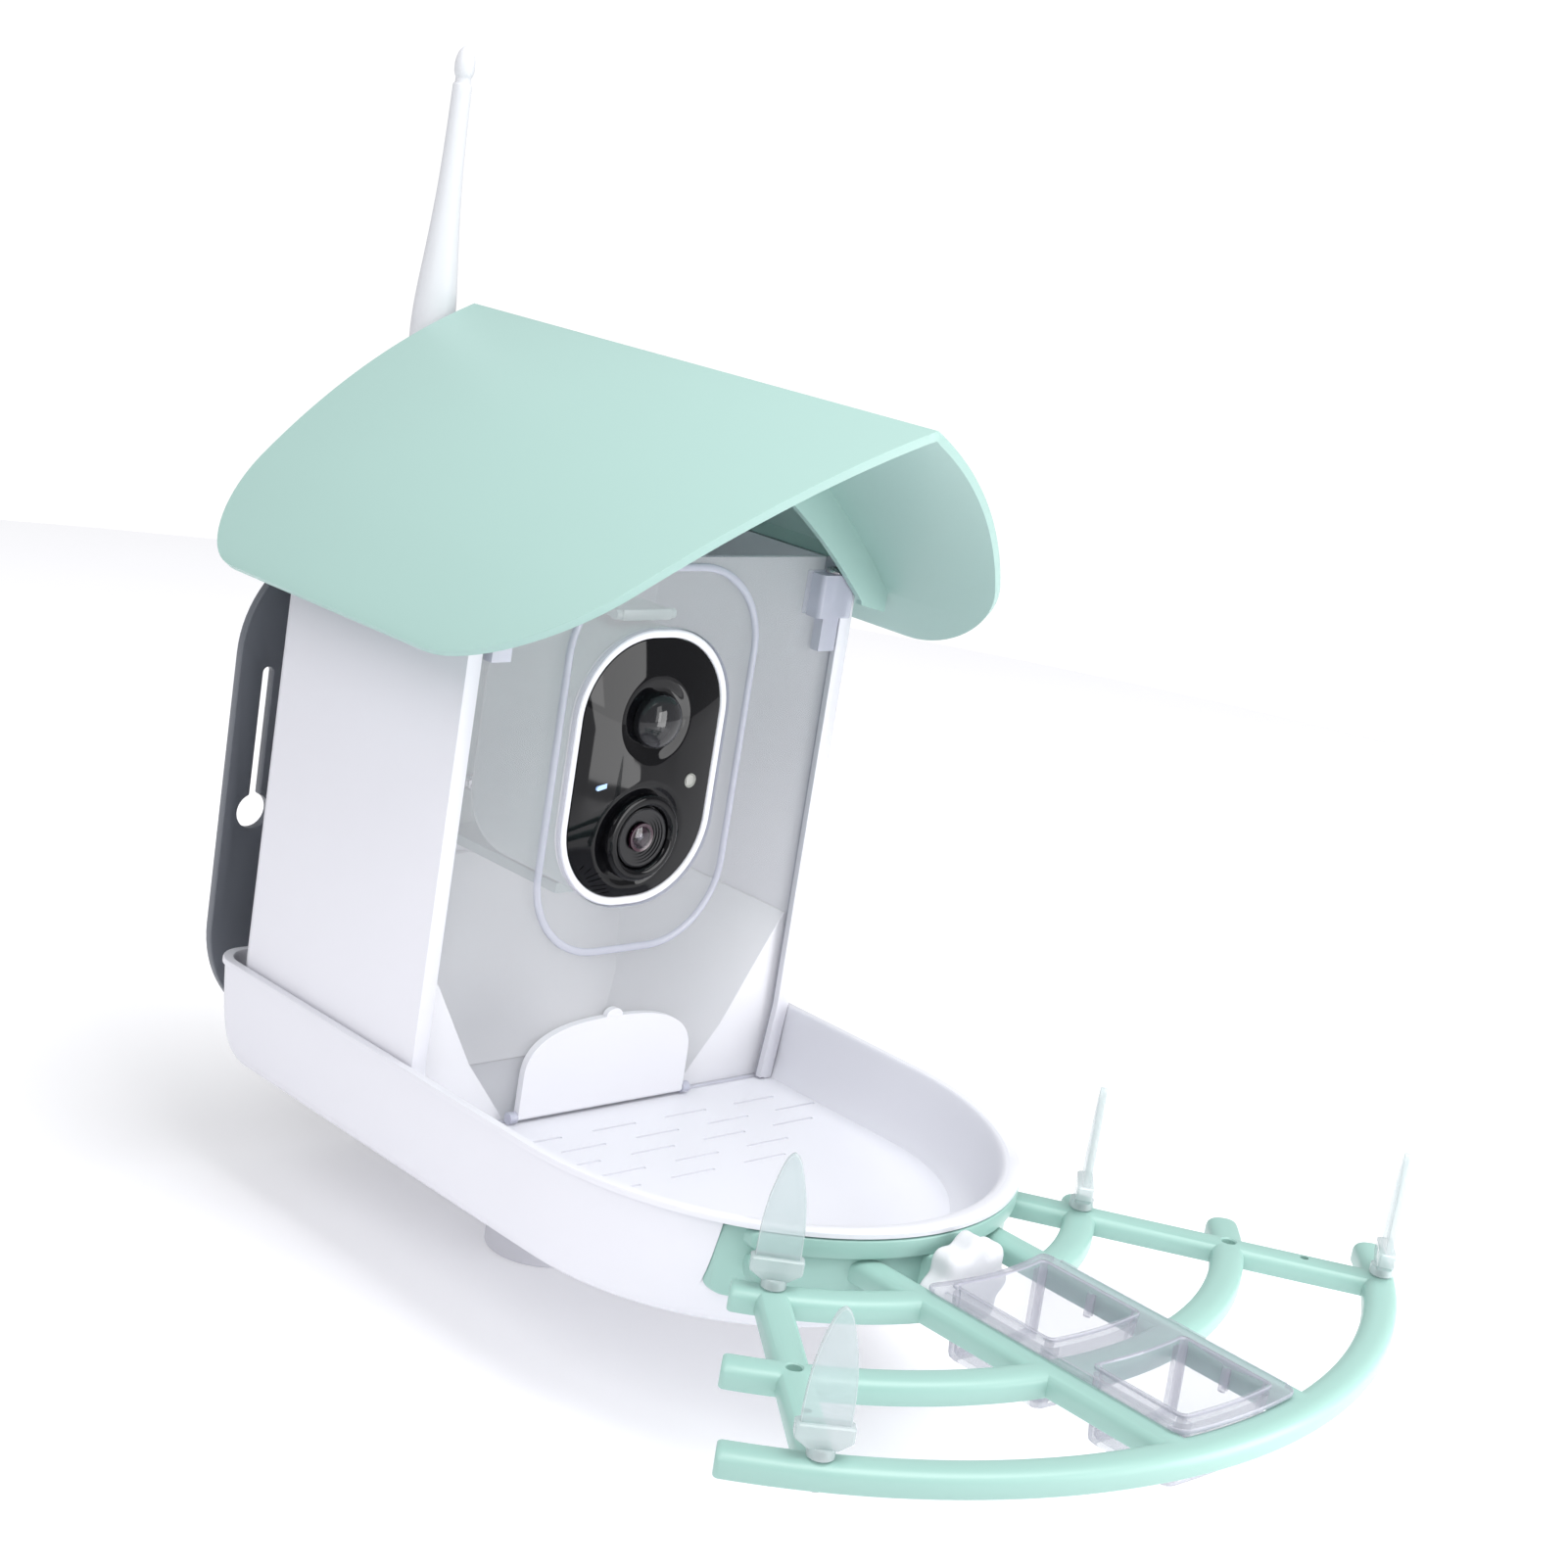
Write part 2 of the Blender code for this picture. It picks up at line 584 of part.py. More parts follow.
# Tray and pole socket
def tray_base():
    def outer(share, side, nose):
        return (TRAY_FOOT_Z + share * (TRAY_DEPTH - LIP_HEIGHT), side * BASE_INSET, nose * BASE_INSET_AT_NOSE,
                side * BASE_INSET_AT_REAR)

    _, knee_side, _ = OUTER_WALL_SHARES[2]
    cavity_side = knee_side * BASE_INSET + SKIRT_THICKNESS
    cavity_rear = knee_side * BASE_INSET_AT_REAR + SKIRT_THICKNESS
    rings = [tray_ring(FLOOR_UNDER_Z, cavity_side, BOWL_INSET_AT_NOSE, cavity_rear),
             tray_ring(TRAY_FOOT_Z, BASE_INSET + SKIRT_THICKNESS, BASE_INSET_AT_NOSE + SKIRT_THICKNESS,
                       BASE_INSET_AT_REAR + SKIRT_THICKNESS)]
    rings += [tray_ring(*outer(*shares)) for shares in OUTER_WALL_SHARES]
    lip_z = RIM_Z - LIP_HEIGHT
    rings.append(tray_ring(lip_z, LIP_OVERHANG, 2 * LIP_OVERHANG, LIP_OVERHANG))
    rings.append(tray_ring(lip_z, 0, 0, 0))
    rings.append(tray_ring(RIM_Z, 0, 0, 0))
    rings.append(tray_ring(RIM_Z, RIM_WIDTH, RIM_WIDTH_AT_NOSE, RIM_WIDTH))
    for share, side, nose in BOWL_WALL_SHARES:
        rings.append(tray_ring(RIM_Z - share * BOWL_DEPTH, RIM_WIDTH + side * (BOWL_INSET - RIM_WIDTH),
                               RIM_WIDTH_AT_NOSE + nose * (BOWL_INSET_AT_NOSE - RIM_WIDTH_AT_NOSE),
                               RIM_WIDTH + side * (BOWL_INSET_AT_REAR - RIM_WIDTH)))
    body = loft("tray_base", rings)
    fused(body, rod("pad", PAD_RADIUS, PAD_Z, FLOOR_UNDER_Z + FUSE, 28, (0, 0, 0)))
    recess = band_outline(-OVERRUN, BAND_BACK_INSET + GAP, BAND_HALF_WIDTH + GAP)
    cutters = [prism("recess", recess, BAND_TOP_Z - BAND_HEIGHT - GAP, lip_z)]
    cutters += [screw_hole(PAD_Z - OVERRUN, PAD_Z + SCREW_BITE + GAP, (x, y, 0))
                for x, y in socket_screw_places()]
    cutters += [screw_hole(FLOOR_UNDER_Z - OVERRUN, FLOOR_Z + OVERRUN, (x, y, 0)) for x, y in base_boss_places()]
    wall_y = NOSE_Y + BAND_BACK_INSET + GAP
    cutters.append(rod("insert_bore", INSERT_RADIUS + GAP, -OVERRUN, INSERT_LENGTH + 2 * GAP, 14,
                       (0, wall_y, KNOB_Z), "Y"))
    cutters += [box("groove", x - GROOVE_LENGTH / 2, x + GROOVE_LENGTH / 2, y - GROOVE_WIDTH / 2,
                    y + GROOVE_WIDTH / 2, FLOOR_Z - GROOVE_DEPTH, FLOOR_Z + OVERRUN) for x, y in groove_places()]
    return cut(body, *cutters)


def groove_places():
    """Staggered rows of short drain grooves in front of the house."""
    places = []
    for row in range(GROOVE_ROWS):
        count = 5 if row < 3 else 3
        stagger = (row % 2 - 0.5) * GROOVE_PITCH_X / 3
        for column in range(count):
            places.append(((column - (count - 1) / 2) * GROOVE_PITCH_X + stagger,
                           HOUSE_FRONT_Y - GROOVE_SETBACK - row * GROOVE_PITCH_Y))
    return places


def pole_socket():
    top = SOCKET_LENGTH
    profile = [(0, top - SOCKET_ROOF), (SOCKET_BORE_RADIUS, top - SOCKET_ROOF), (SOCKET_BORE_RADIUS, 0),
               (SOCKET_RADIUS, 0), (SOCKET_RADIUS, top - SOCKET_FLANGE),
               (SOCKET_FLANGE_RADIUS, top - SOCKET_FLANGE), (SOCKET_FLANGE_RADIUS, top), (0, top)]
    body = turned("pole_socket", profile, 28, (0, 0, 0))
    return cut(body, *[screw_hole(top - SOCKET_FLANGE - OVERRUN, top + OVERRUN, (x, y, 0))
                       for x, y in socket_screw_places()])


def socket_screws():
    head_z = SOCKET_LENGTH - SOCKET_FLANGE - GAP
    return numbered("socket_screw", [screw("screw", PAD_Z + SCREW_BITE - head_z, (x, y, head_z))
                                      for x, y in socket_screw_places()])


def base_screws():
    head_z = FLOOR_UNDER_Z - GAP
    length = HOUSE_FOOT_Z + SCREW_BITE - head_z
    return numbered("base_screw", [screw("screw", length, (x, y, head_z)) for x, y in base_boss_places()])


# House
def house_plan(z, back):
    """The U of the two side walls and the back wall at one height."""
    half = house_half_width(z)
    inner = half - HOUSE_WALL
    corner = HOUSE_CORNER
    points = [(half, HOUSE_FRONT_Y)]
    points += [(half - corner + corner * math.cos(a), back - corner + corner * math.sin(a))
               for a in (math.pi / 6 * k for k in range(4))]
    points += [(-x, y) for x, y in reversed(points)]
    points += [(-inner, HOUSE_FRONT_Y), (-inner, back - HOUSE_WALL), (inner, back - HOUSE_WALL),
               (inner, HOUSE_FRONT_Y)]
    return at_height(points, z)


def roof_drop(x):
    share = abs(x) / ROOF_HALF_WIDTH
    first, second, third = ROOF_SECTION_SHARES
    return ROOF_FALL * (first * share + second * share ** 2 + third * share ** 3)


def roof_slope(x):
    share = abs(x) / ROOF_HALF_WIDTH
    first, second, third = ROOF_SECTION_SHARES
    return ROOF_FALL / ROOF_HALF_WIDTH * (first + 2 * second * share + 3 * third * share ** 2)


def ridge_z():
    """The ridge's height, from where the sheet comes down to just above the walls."""
    wall = house_half_width(HOUSE_TOP_Z)
    return HOUSE_TOP_Z + ROOF_SEAT + roof_drop(wall) + ROOF_SHEET * math.sqrt(1 + roof_slope(wall) ** 2)


def roof_underside(x):
    return ridge_z() - roof_drop(x) - ROOF_SHEET * math.sqrt(1 + roof_slope(x) ** 2)


def house_shell():
    body = loft("house_shell", [house_plan(z, HOUSE_BACK_Y) for z in (HOUSE_FOOT_Z, HOUSE_KNEE_Z, HOUSE_TOP_Z)])
    half = house_half_width(HOUSE_TOP_Z) - HOUSE_CORNER
    steps = 14
    gable = [(half * (1 - 2 * k / steps), roof_underside(half * (1 - 2 * k / steps)) - 2 * GAP)
             for k in range(steps + 1)]
    gable = [(half, HOUSE_TOP_Z - HOUSE_WALL)] + gable + [(-half, HOUSE_TOP_Z - HOUSE_WALL)]
    parts = [prism("gable", gable, BACK_WALL_Y + GAP, HOUSE_BACK_Y - GAP, at_depth)]
    lip_top = BLOCK_FOOT_Z - GAP
    for side in (-1, 1):
        rings = []
        for z in (HOUSE_FOOT_Z + FUSE, HOUSE_KNEE_Z, lip_top):
            wall = room_half_width(z)
            rings.append([(side * (wall - FRONT_LIP_REACH), HOUSE_FRONT_Y, z),
                          (side * (wall + FUSE), HOUSE_FRONT_Y, z),
                          (side * (wall + FUSE), HOUSE_FRONT_Y + FRONT_LIP, z),
                          (side * (wall - FRONT_LIP_REACH), HOUSE_FRONT_Y + FRONT_LIP, z)])
        parts.append(loft("lip", rings))
    parts += [rod("boss", BASE_BOSS_RADIUS, HOUSE_FOOT_Z, HOUSE_FOOT_Z + BASE_BOSS_HEIGHT, 12, (x, y, 0))
              for x, y in base_boss_places()]
    fused(body, *parts)
    holes = [screw_hole(HOUSE_FOOT_Z - OVERRUN, HOUSE_FOOT_Z + SCREW_BITE + GAP, (x, y, 0))
             for x, y in base_boss_places()]
    holes += [screw_hole(BACK_WALL_Y - OVERRUN, HOUSE_BACK_Y + OVERRUN, (x, 0, z), "Y")
              for x, z in standoff_places()]
    holes += [screw_hole(BACK_WALL_Y - OVERRUN, BACK_WALL_Y + HOUSE_WALL * 3 / 4, (x, 0, z), "Y")
              for x, z in bracket_screw_places()]
    holes.append(rod("socket_hole", STUB_RADIUS + GAP, BACK_WALL_Y - OVERRUN, HOUSE_BACK_Y + OVERRUN, 14,
                     (ANTENNA_X, 0, PIVOT_Z), "Y"))
    return cut(body, *holes)


def seed_funnel():
    """Two ramps and a rear ramp in one sheet, closed at the front by webs down to the floor."""
    front = FUNNEL_FRONT_Y
    back = BACK_WALL_Y - GAP - FUNNEL_EDGE / 2
    foot = HOUSE_FOOT_Z
    top = foot + FUNNEL_HEIGHT

    def ring(z, half, depth, y_front):
        return [(-half, y_front, z), (half, y_front, z), (half, depth, z), (-half, depth, z)]

    def walls(grow, y_front):
        edge = room_half_width(top) - GAP - FUNNEL_EDGE
        steep = (top - foot - FUNNEL_KNEE_HEIGHT) / (edge - FUNNEL_KNEE_HALF_WIDTH)
        over = OVERRUN / steep
        return [ring(foot - OVERRUN, FUNNEL_MOUTH_HALF_WIDTH + grow, front + FUNNEL_MOUTH_DEPTH + grow, y_front),
                ring(foot, FUNNEL_MOUTH_HALF_WIDTH + grow, front + FUNNEL_MOUTH_DEPTH + grow, y_front),
                ring(foot + FUNNEL_KNEE_HEIGHT, FUNNEL_KNEE_HALF_WIDTH + grow, front + FUNNEL_KNEE_DEPTH + grow,
                     y_front),
                ring(top + OVERRUN, edge + over + grow, back - FUNNEL_EDGE + over + grow, y_front)]

    rings = [[(-w, front, z), (w, front, z), (w, back, z), (-w, back, z)]
             for z in (foot, HOUSE_KNEE_Z, top) for w in (room_half_width(z) - GAP,)]
    body = loft("seed_funnel", rings)
    under = box("under", -HOUSE_HALF_WIDTH, HOUSE_HALF_WIDTH, front + FUNNEL_SHEET, HOUSE_BACK_Y,
                foot - OVERRUN, top - FUNNEL_SHEET)
    cut(under, loft("ramps", walls(FUNNEL_SHEET, front - OVERRUN)))
    return cut(body, loft("hopper", walls(0, front - OVERRUN)), under)


# Front panel and seed gate
def block_centre():
    return room_half_width(BLOCK_TOP_Z) - GAP - BLOCK_WIDTH / 2


def camera_outline(grow=0):
    return shifted(rounded(BEZEL_HALF_WIDTH + grow, BEZEL_HALF_HEIGHT + grow, BEZEL_CORNER + grow), 0, CAMERA_Z)


def front_panel():
    foot = HOUSE_FOOT_Z
    top_half = room_half_width(HOUSE_TOP_Z) - GAP
    right = [(room_half_width(foot) - GAP, foot), (room_half_width(HOUSE_KNEE_Z) - GAP, HOUSE_KNEE_Z)]
    right += [(top_half - PANEL_CORNER + PANEL_CORNER * math.cos(a), PANEL_TOP_Z - PANEL_CORNER
               + PANEL_CORNER * math.sin(a)) for a in (math.pi / 6 * k for k in range(4))]
    outline = right + [(-x, z) for x, z in reversed(right)]
    body = prism("front_panel", outline, PANEL_FRONT_Y, PANEL_BACK_Y, at_depth)
    bead_z = CAMERA_Z + BEAD_RISE_ABOVE_CAMERA
    proud = PANEL_FRONT_Y - BEAD_HEIGHT
    rings = []
    for inset, y in ((0, PANEL_FRONT_Y + FUSE), (0, PANEL_FRONT_Y), (BEAD_WIDTH / 4, proud),
                     (BEAD_WIDTH * 3 / 4, proud), (BEAD_WIDTH, PANEL_FRONT_Y), (BEAD_WIDTH, PANEL_FRONT_Y + FUSE)):
        ring = rounded(BEAD_HALF_WIDTH - inset, BEAD_HALF_HEIGHT - inset, BEAD_CORNER - inset, 5)
        rings.append(at_depth(shifted(ring, 0, bead_z), y))
    parts = [loft("bead", rings, closed=True)]
    block_y = PANEL_FRONT_Y - BLOCK_PROUD
    for side in (-1, 1):
        x = side * block_centre()
        plan = shifted(rounded(BLOCK_WIDTH / 2, BLOCK_DEPTH / 2, BLOCK_CORNER, 2), x, block_y + BLOCK_DEPTH / 2)
        parts.append(prism("block", plan, BLOCK_FOOT_Z, BLOCK_TOP_Z))
        parts.append(box("post", x - POST_WIDTH / 2, x + POST_WIDTH / 2, PANEL_FRONT_Y - POST_DEPTH,
                         PANEL_FRONT_Y + FUSE, BLOCK_FOOT_Z - POST_HEIGHT, BLOCK_FOOT_Z + FUSE))
        lug_x = side * (GATE_HALF_WIDTH + GAP + LUG_WIDTH / 2)
        low, high = lug_x - LUG_WIDTH / 2, lug_x + LUG_WIDTH / 2
        parts.append(rod("lug", LUG_RADIUS, low, high, 12, (0, GATE_AXIS_Y, GATE_AXIS_Z), "X"))
        parts.append(box("lug_root", low, high, GATE_AXIS_Y, PANEL_FRONT_Y + FUSE, GATE_AXIS_Z - LUG_RADIUS * 3 / 4,
                         GATE_AXIS_Z + LUG_RADIUS * 3 / 4))
    fused(body, *parts)
    sill = foot + OUTLET_SILL
    arch = [(OUTLET_HALF_WIDTH * math.cos(a), sill + OUTLET_HEIGHT * (1 + math.sin(a)) / 2)
            for a in (math.pi / 10 * k for k in range(11))]
    arch += [(-OUTLET_HALF_WIDTH, sill), (OUTLET_HALF_WIDTH, sill)]
    cutters = [prism("camera_hole", camera_outline(BEZEL_CLEARANCE), PANEL_FRONT_Y - OVERRUN,
                     PANEL_BACK_Y + OVERRUN, at_depth),
               prism("outlet", arch, PANEL_FRONT_Y - OVERRUN, PANEL_BACK_Y + OVERRUN, at_depth)]
    for side in (-1, 1):
        x, y = side * block_centre(), panel_screw_y()
        cutters.append(screw_hole(panel_screw_foot() - GAP, BLOCK_TOP_Z + OVERRUN, (x, y, 0)))
        cutters.append(rod("head_pocket", SCREW_HEAD_RADIUS + 2 * GAP, BLOCK_TOP_Z, PANEL_TOP_Z + OVERRUN, 12,
                           (x, y, 0)))
        reach = GATE_HALF_WIDTH + GATE_PIN_LENGTH + GAP
        low, high = sorted((side * (GATE_HALF_WIDTH - OVERRUN), side * reach))
        cutters.append(rod("pin_hole", GATE_PIN_RADIUS + GAP, low, high, 10, (0, GATE_AXIS_Y, GATE_AXIS_Z), "X"))
    return cut(body, *cutters)


def panel_screw_y():
    return PANEL_FRONT_Y - BLOCK_SCREW_SETBACK


def panel_screw_foot():
    return BLOCK_FOOT_Z + SCREW_BITE


def panel_screws():
    head_z = BLOCK_TOP_Z + GAP
    return numbered("panel_screw", [screw("screw", head_z - panel_screw_foot(),
                                           (side * block_centre(), panel_screw_y(), head_z), "Z", -1)
                                     for side in (-1, 1)])


def seed_gate():
    top = GATE_HEIGHT - GATE_THICKNESS / 2
    outline = [(GATE_HALF_WIDTH, 0)]
    outline += [(GATE_HALF_WIDTH * math.copysign(abs(math.cos(a)) ** (2 / GATE_SHAPE), math.cos(a)),
                 top * (0.42 + 0.58 * math.sin(a) ** (2 / GATE_SHAPE)))
                for a in (math.pi / 16 * k for k in range(17))]
    outline.append((-GATE_HALF_WIDTH, 0))
    half = GATE_THICKNESS / 2
    body = prism("seed_gate", shifted(outline, 0, GATE_AXIS_Z), GATE_AXIS_Y - half, GATE_AXIS_Y + half, at_depth)
    centre = (0, GATE_AXIS_Y, GATE_AXIS_Z)
    reach = GATE_HALF_WIDTH + GATE_PIN_LENGTH
    nub = [(GATE_NUB_RADIUS * math.cos(a), GATE_NUB_RISE * math.sin(a))
           for a in (math.pi / 6 * k for k in range(7))]
    nub += [(-GATE_NUB_RADIUS, -FUSE), (GATE_NUB_RADIUS, -FUSE)]
    nub = shifted(nub, 0, GATE_AXIS_Z + top)
    return fused(body, rod("barrel", half, -GATE_HALF_WIDTH, GATE_HALF_WIDTH, 12, centre, "X"),
                 rod("pin", GATE_PIN_RADIUS, -reach, reach, 10, centre, "X"),
                 prism("nub", nub, GATE_AXIS_Y - half + GAP, GATE_AXIS_Y + half - GAP, at_depth))


# Roof
def roof_columns():
    """Places across the roof, close together where the eaves' corners turn."""
    flat = ROOF_HALF_WIDTH - EAVE_ROUND
    side = [flat * k / 7 for k in range(8)]
    side += [flat + EAVE_ROUND * math.sin(math.pi / 2 * k / 6) for k in range(1, 7)]
    return [-x for x in reversed(side[1:])] + side


def roof_ends(x):
    """The roof's front and rear edge at a place across it."""
    drop = roof_drop(x) / ROOF_FALL
    first, second = ROOF_RAKE_SHARES
    front = HOUSE_FRONT_Y - ROOF_FRONT_REACH + ROOF_RAKE * (first * drop + second * drop ** 2)
    rear = HOUSE_BACK_Y + ROOF_REAR_REACH
    into = min(1, max(0, abs(x) - ROOF_HALF_WIDTH + EAVE_ROUND) / EAVE_ROUND)
    turn = 1 - math.sqrt(1 - into ** 2)
    return front + turn * EAVE_ROUND_FRONT, rear - turn * EAVE_ROUND_REAR


def rib_outline():
    """The arch rib below the roof: its outer edge follows the sheet, its inner edge rounds off at the ridge."""
    steps = 12
    outer = [(RIB_HALF_WIDTH * (1 - 2 * k / steps), 0) for k in range(steps + 1)]
    outer = [(x, roof_underside(x) + FUSE) for x, _ in outer]
    arch = RIB_ARCH_HALF_WIDTH
    knee_z = ridge_z() - roof_drop(arch) - RIB_DEPTH
    rise = roof_slope(arch) * arch / 2
    inner = [(arch * k / 3, knee_z + rise * (1 - (k / 3) ** 2)) for k in range(3)]
    inner += [(x, ridge_z() - roof_drop(x) - RIB_DEPTH)
              for x in (arch + (RIB_INNER_HALF_WIDTH - arch) * k / 3 for k in range(4))]
    inner.append((RIB_INNER_HALF_WIDTH + GAP, HOUSE_TOP_Z - RIB_FOOT_DROP + RIB_FOOT_SLOPE))
    foot = (RIB_HALF_WIDTH, HOUSE_TOP_Z - RIB_FOOT_DROP)
    left = [(-x, z) for x, z in reversed(inner)]
    return outer + [(-foot[0], foot[1])] + left + inner[1:] + [foot]


def roof():
    rings = []
    for x in roof_columns():
        slope = math.copysign(roof_slope(x), x) if x else 0
        length = math.sqrt(1 + slope ** 2)
        front, rear = roof_ends(x)
        z = ridge_z() - roof_drop(x)
        under_x = x - ROOF_SHEET * slope / length
        under_z = z - ROOF_SHEET / length if x else roof_underside(0)
        rings.append([(x, front, z), (x, rear, z), (under_x, rear, under_z), (under_x, front, under_z)])
    body = loft("roof", rings)
    front_y = HOUSE_FRONT_Y - FRONT_RIB_SETBACK
    rear_y = HOUSE_BACK_Y + REAR_RIB_SETBACK
    parts = [prism("front_rib", rib_outline(), front_y - RIB_THICKNESS, front_y, at_depth),
             prism("rear_rib", rib_outline(), rear_y, rear_y + RIB_THICKNESS, at_depth)]
    half = house_half_width(HOUSE_TOP_Z)
    for side in (-1, 1):
        plan = [(half - SIDE_RIB_THICKNESS, HOUSE_TOP_Z + GAP), (half, HOUSE_TOP_Z + GAP),
                (half, roof_underside(half) + FUSE),
                (half - SIDE_RIB_THICKNESS, roof_underside(half - SIDE_RIB_THICKNESS) + FUSE)]
        plan = [(side * x, z) for x, z in plan]
        parts.append(prism("side_rib", plan, front_y - FUSE, rear_y + FUSE, at_depth))
    return fused(body, *parts)


# Rear mounting plate
def rear_plate():
    half_height = (PLATE_TOP_Z - PLATE_FOOT_Z) / 2
    outline = shifted(rounded(PLATE_HALF_WIDTH, half_height, PLATE_CORNER), 0, PLATE_FOOT_Z + half_height)
    back = PLATE_FRONT_Y + PLATE_THICKNESS
    body = prism("rear_plate", outline, PLATE_FRONT_Y, back, at_depth)
    fused(body, *[rod("standoff", STANDOFF_RADIUS, HOUSE_BACK_Y + GAP, PLATE_FRONT_Y + FUSE, 14, (x, 0, z), "Y")
                  for x, z in standoff_places()])
    cutters = [screw_hole(HOUSE_BACK_Y - OVERRUN, HOUSE_BACK_Y + SCREW_BITE + GAP, (x, 0, z), "Y")
               for x, z in standoff_places()]
    mouth = math.acos(KEYHOLE_SLOT_RADIUS / KEYHOLE_RADIUS)
    for side in (-1, 1):
        round_part = [(KEYHOLE_RADIUS * math.cos(a), KEYHOLE_RADIUS * math.sin(a))
                      for a in (mouth - (math.pi + 2 * mouth) * k / 16 for k in range(17))]
        slot = [(KEYHOLE_SLOT_RADIUS * math.cos(a), KEYHOLE_SLOT_LENGTH + KEYHOLE_SLOT_RADIUS * math.sin(a))
                for a in (math.pi - math.pi * k / 6 for k in range(7))]
        keyhole_x = side * (PLATE_HALF_WIDTH - KEYHOLE_SETBACK)
        keyhole = shifted(round_part + slot, keyhole_x, PLATE_FOOT_Z + KEYHOLE_RISE)
        cutters.append(prism("keyhole", keyhole, PLATE_FRONT_Y - OVERRUN, back + OVERRUN, at_depth))
    return cut(body, *cutters)


def plate_screws():
    head_y = BACK_WALL_Y - GAP
    length = HOUSE_BACK_Y + SCREW_BITE - head_y
    return numbered("plate_screw", [screw("screw", length, (x, head_y, z), "Y") for x, z in standoff_places()])


# Camera unit
def camera_ring(inset, y):
    outline = rounded(BEZEL_HALF_WIDTH - inset, BEZEL_HALF_HEIGHT - inset, BEZEL_CORNER - inset)
    return at_depth(shifted(outline, 0, CAMERA_Z), y)


def face_y(x, z):
    """The face's domed surface at a place on it."""
    share = max(abs(x) / FACE_HALF_WIDTH, abs(z - CAMERA_Z) / FACE_HALF_HEIGHT)
    return FACE_EDGE_Y - FACE_BULGE * (1 - share ** 2)


def camera_bezel():
    front, back, turn = BEZEL_FRONT_Y, BEZEL_BACK_Y, BEZEL_ROUND
    section = ((0, back), (0, front + turn), (turn, front), (BEZEL_WIDTH - turn, front),
               (BEZEL_WIDTH - GAP, front + turn), (BEZEL_WIDTH - GAP, back))
    return loft("camera_bezel", [camera_ring(*place) for place in section], closed=True)


def lens_places():
    """Heights of the motion sensor, the lens and the small details beside it."""
    half = FACE_HALF_HEIGHT
    return (CAMERA_Z + half * PIR_RISE_SHARE, CAMERA_Z - half * LENS_DROP_SHARE,
            CAMERA_Z - half * DETAIL_DROP_SHARE)


def led_outline(grow=0):
    half, radius = LED_HALF_LENGTH + grow, LED_RADIUS + grow
    return shifted(rounded(half, radius, radius, 3), -DETAIL_X, lens_places()[2])


def camera_face():
    rings = [camera_ring(BEZEL_WIDTH, FACE_BACK_Y)]
    for share in FACE_DOME_SHARES:
        outline = rounded(FACE_HALF_WIDTH * share, FACE_HALF_HEIGHT * share, (BEZEL_CORNER - BEZEL_WIDTH) * share)
        rings.append(at_depth(shifted(outline, 0, CAMERA_Z), FACE_EDGE_Y - FACE_BULGE * (1 - share ** 2)))
    body = loft("camera_face", rings)
    pir_z, lens_z, detail_z = lens_places()
    low, high = FACE_EDGE_Y - FACE_BULGE - OVERRUN, FACE_BACK_Y + OVERRUN
    return cut(body, rod("pir_hole", PIR_RADIUS + GAP, low, high, 22, (0, 0, pir_z), "Y"),
               rod("lens_hole", LENS_RING_RADIUS + GAP, low, high, 26, (0, 0, lens_z), "Y"),
               rod("sensor_hole", SENSOR_RADIUS + GAP, low, high, 12, (DETAIL_X, 0, detail_z), "Y"),
               prism("led_hole", led_outline(GAP), low, high, at_depth))


def camera_housing():
    """The rear shell of the camera unit: open at the front, round at the back."""
    edge = HOUSING_INSET
    front, back, turn = HOUSING_FRONT_Y, HOUSING_BACK_Y, HOUSING_ROUND
    rings = [camera_ring(edge + turn, back - HOUSING_WALL),
             camera_ring(edge + HOUSING_WALL, back - turn),
             camera_ring(edge + HOUSING_WALL, front),
             camera_ring(edge, front),
             camera_ring(edge, back - turn),
             camera_ring(edge + turn * (1 - math.sqrt(3) / 2), back - turn / 2),
             camera_ring(edge + turn / 2, back - turn * (1 - math.sqrt(3) / 2)),
             camera_ring(edge + turn, back)]
    body = loft("camera_housing", rings)
    high = back + OVERRUN
    low = back - HOUSING_WALL - OVERRUN
    flap_top = CAMERA_Z - FLAP_DROP
    port_z = flap_top - FLAP_HEIGHT / 2
    seat = FLAP_THICKNESS + GAP
    return cut(body, rod("button_hole", BUTTON_RADIUS + GAP, low, high, 16, (0, 0, BUTTON_Z), "Y"),
               box("port", -PORT_HALF_WIDTH, PORT_HALF_WIDTH, low, high, port_z - PORT_HALF_HEIGHT,
                   port_z + PORT_HALF_HEIGHT),
               box("flap_seat", -FLAP_HALF_WIDTH - GAP, FLAP_HALF_WIDTH + GAP, back - seat, high,
                   flap_top - FLAP_HEIGHT - GAP, flap_top + GAP))


def pir_lens():
    z = lens_places()[0]
    front = face_y(0, z - PIR_RADIUS)
    profile = [(0, FACE_BACK_Y + GAP + PIR_FLANGE), (PIR_RADIUS + PIR_FLANGE, FACE_BACK_Y + GAP + PIR_FLANGE),
               (PIR_RADIUS + PIR_FLANGE, FACE_BACK_Y + GAP), (PIR_RADIUS, FACE_BACK_Y + GAP)]
    profile += [(PIR_RADIUS * math.cos(a), front - PIR_BULGE * math.sin(a))
                for a in (math.pi / 2 * k / 4 for k in range(5))]
    return turned("pir_lens", profile, 22, (0, 0, z), "Y")


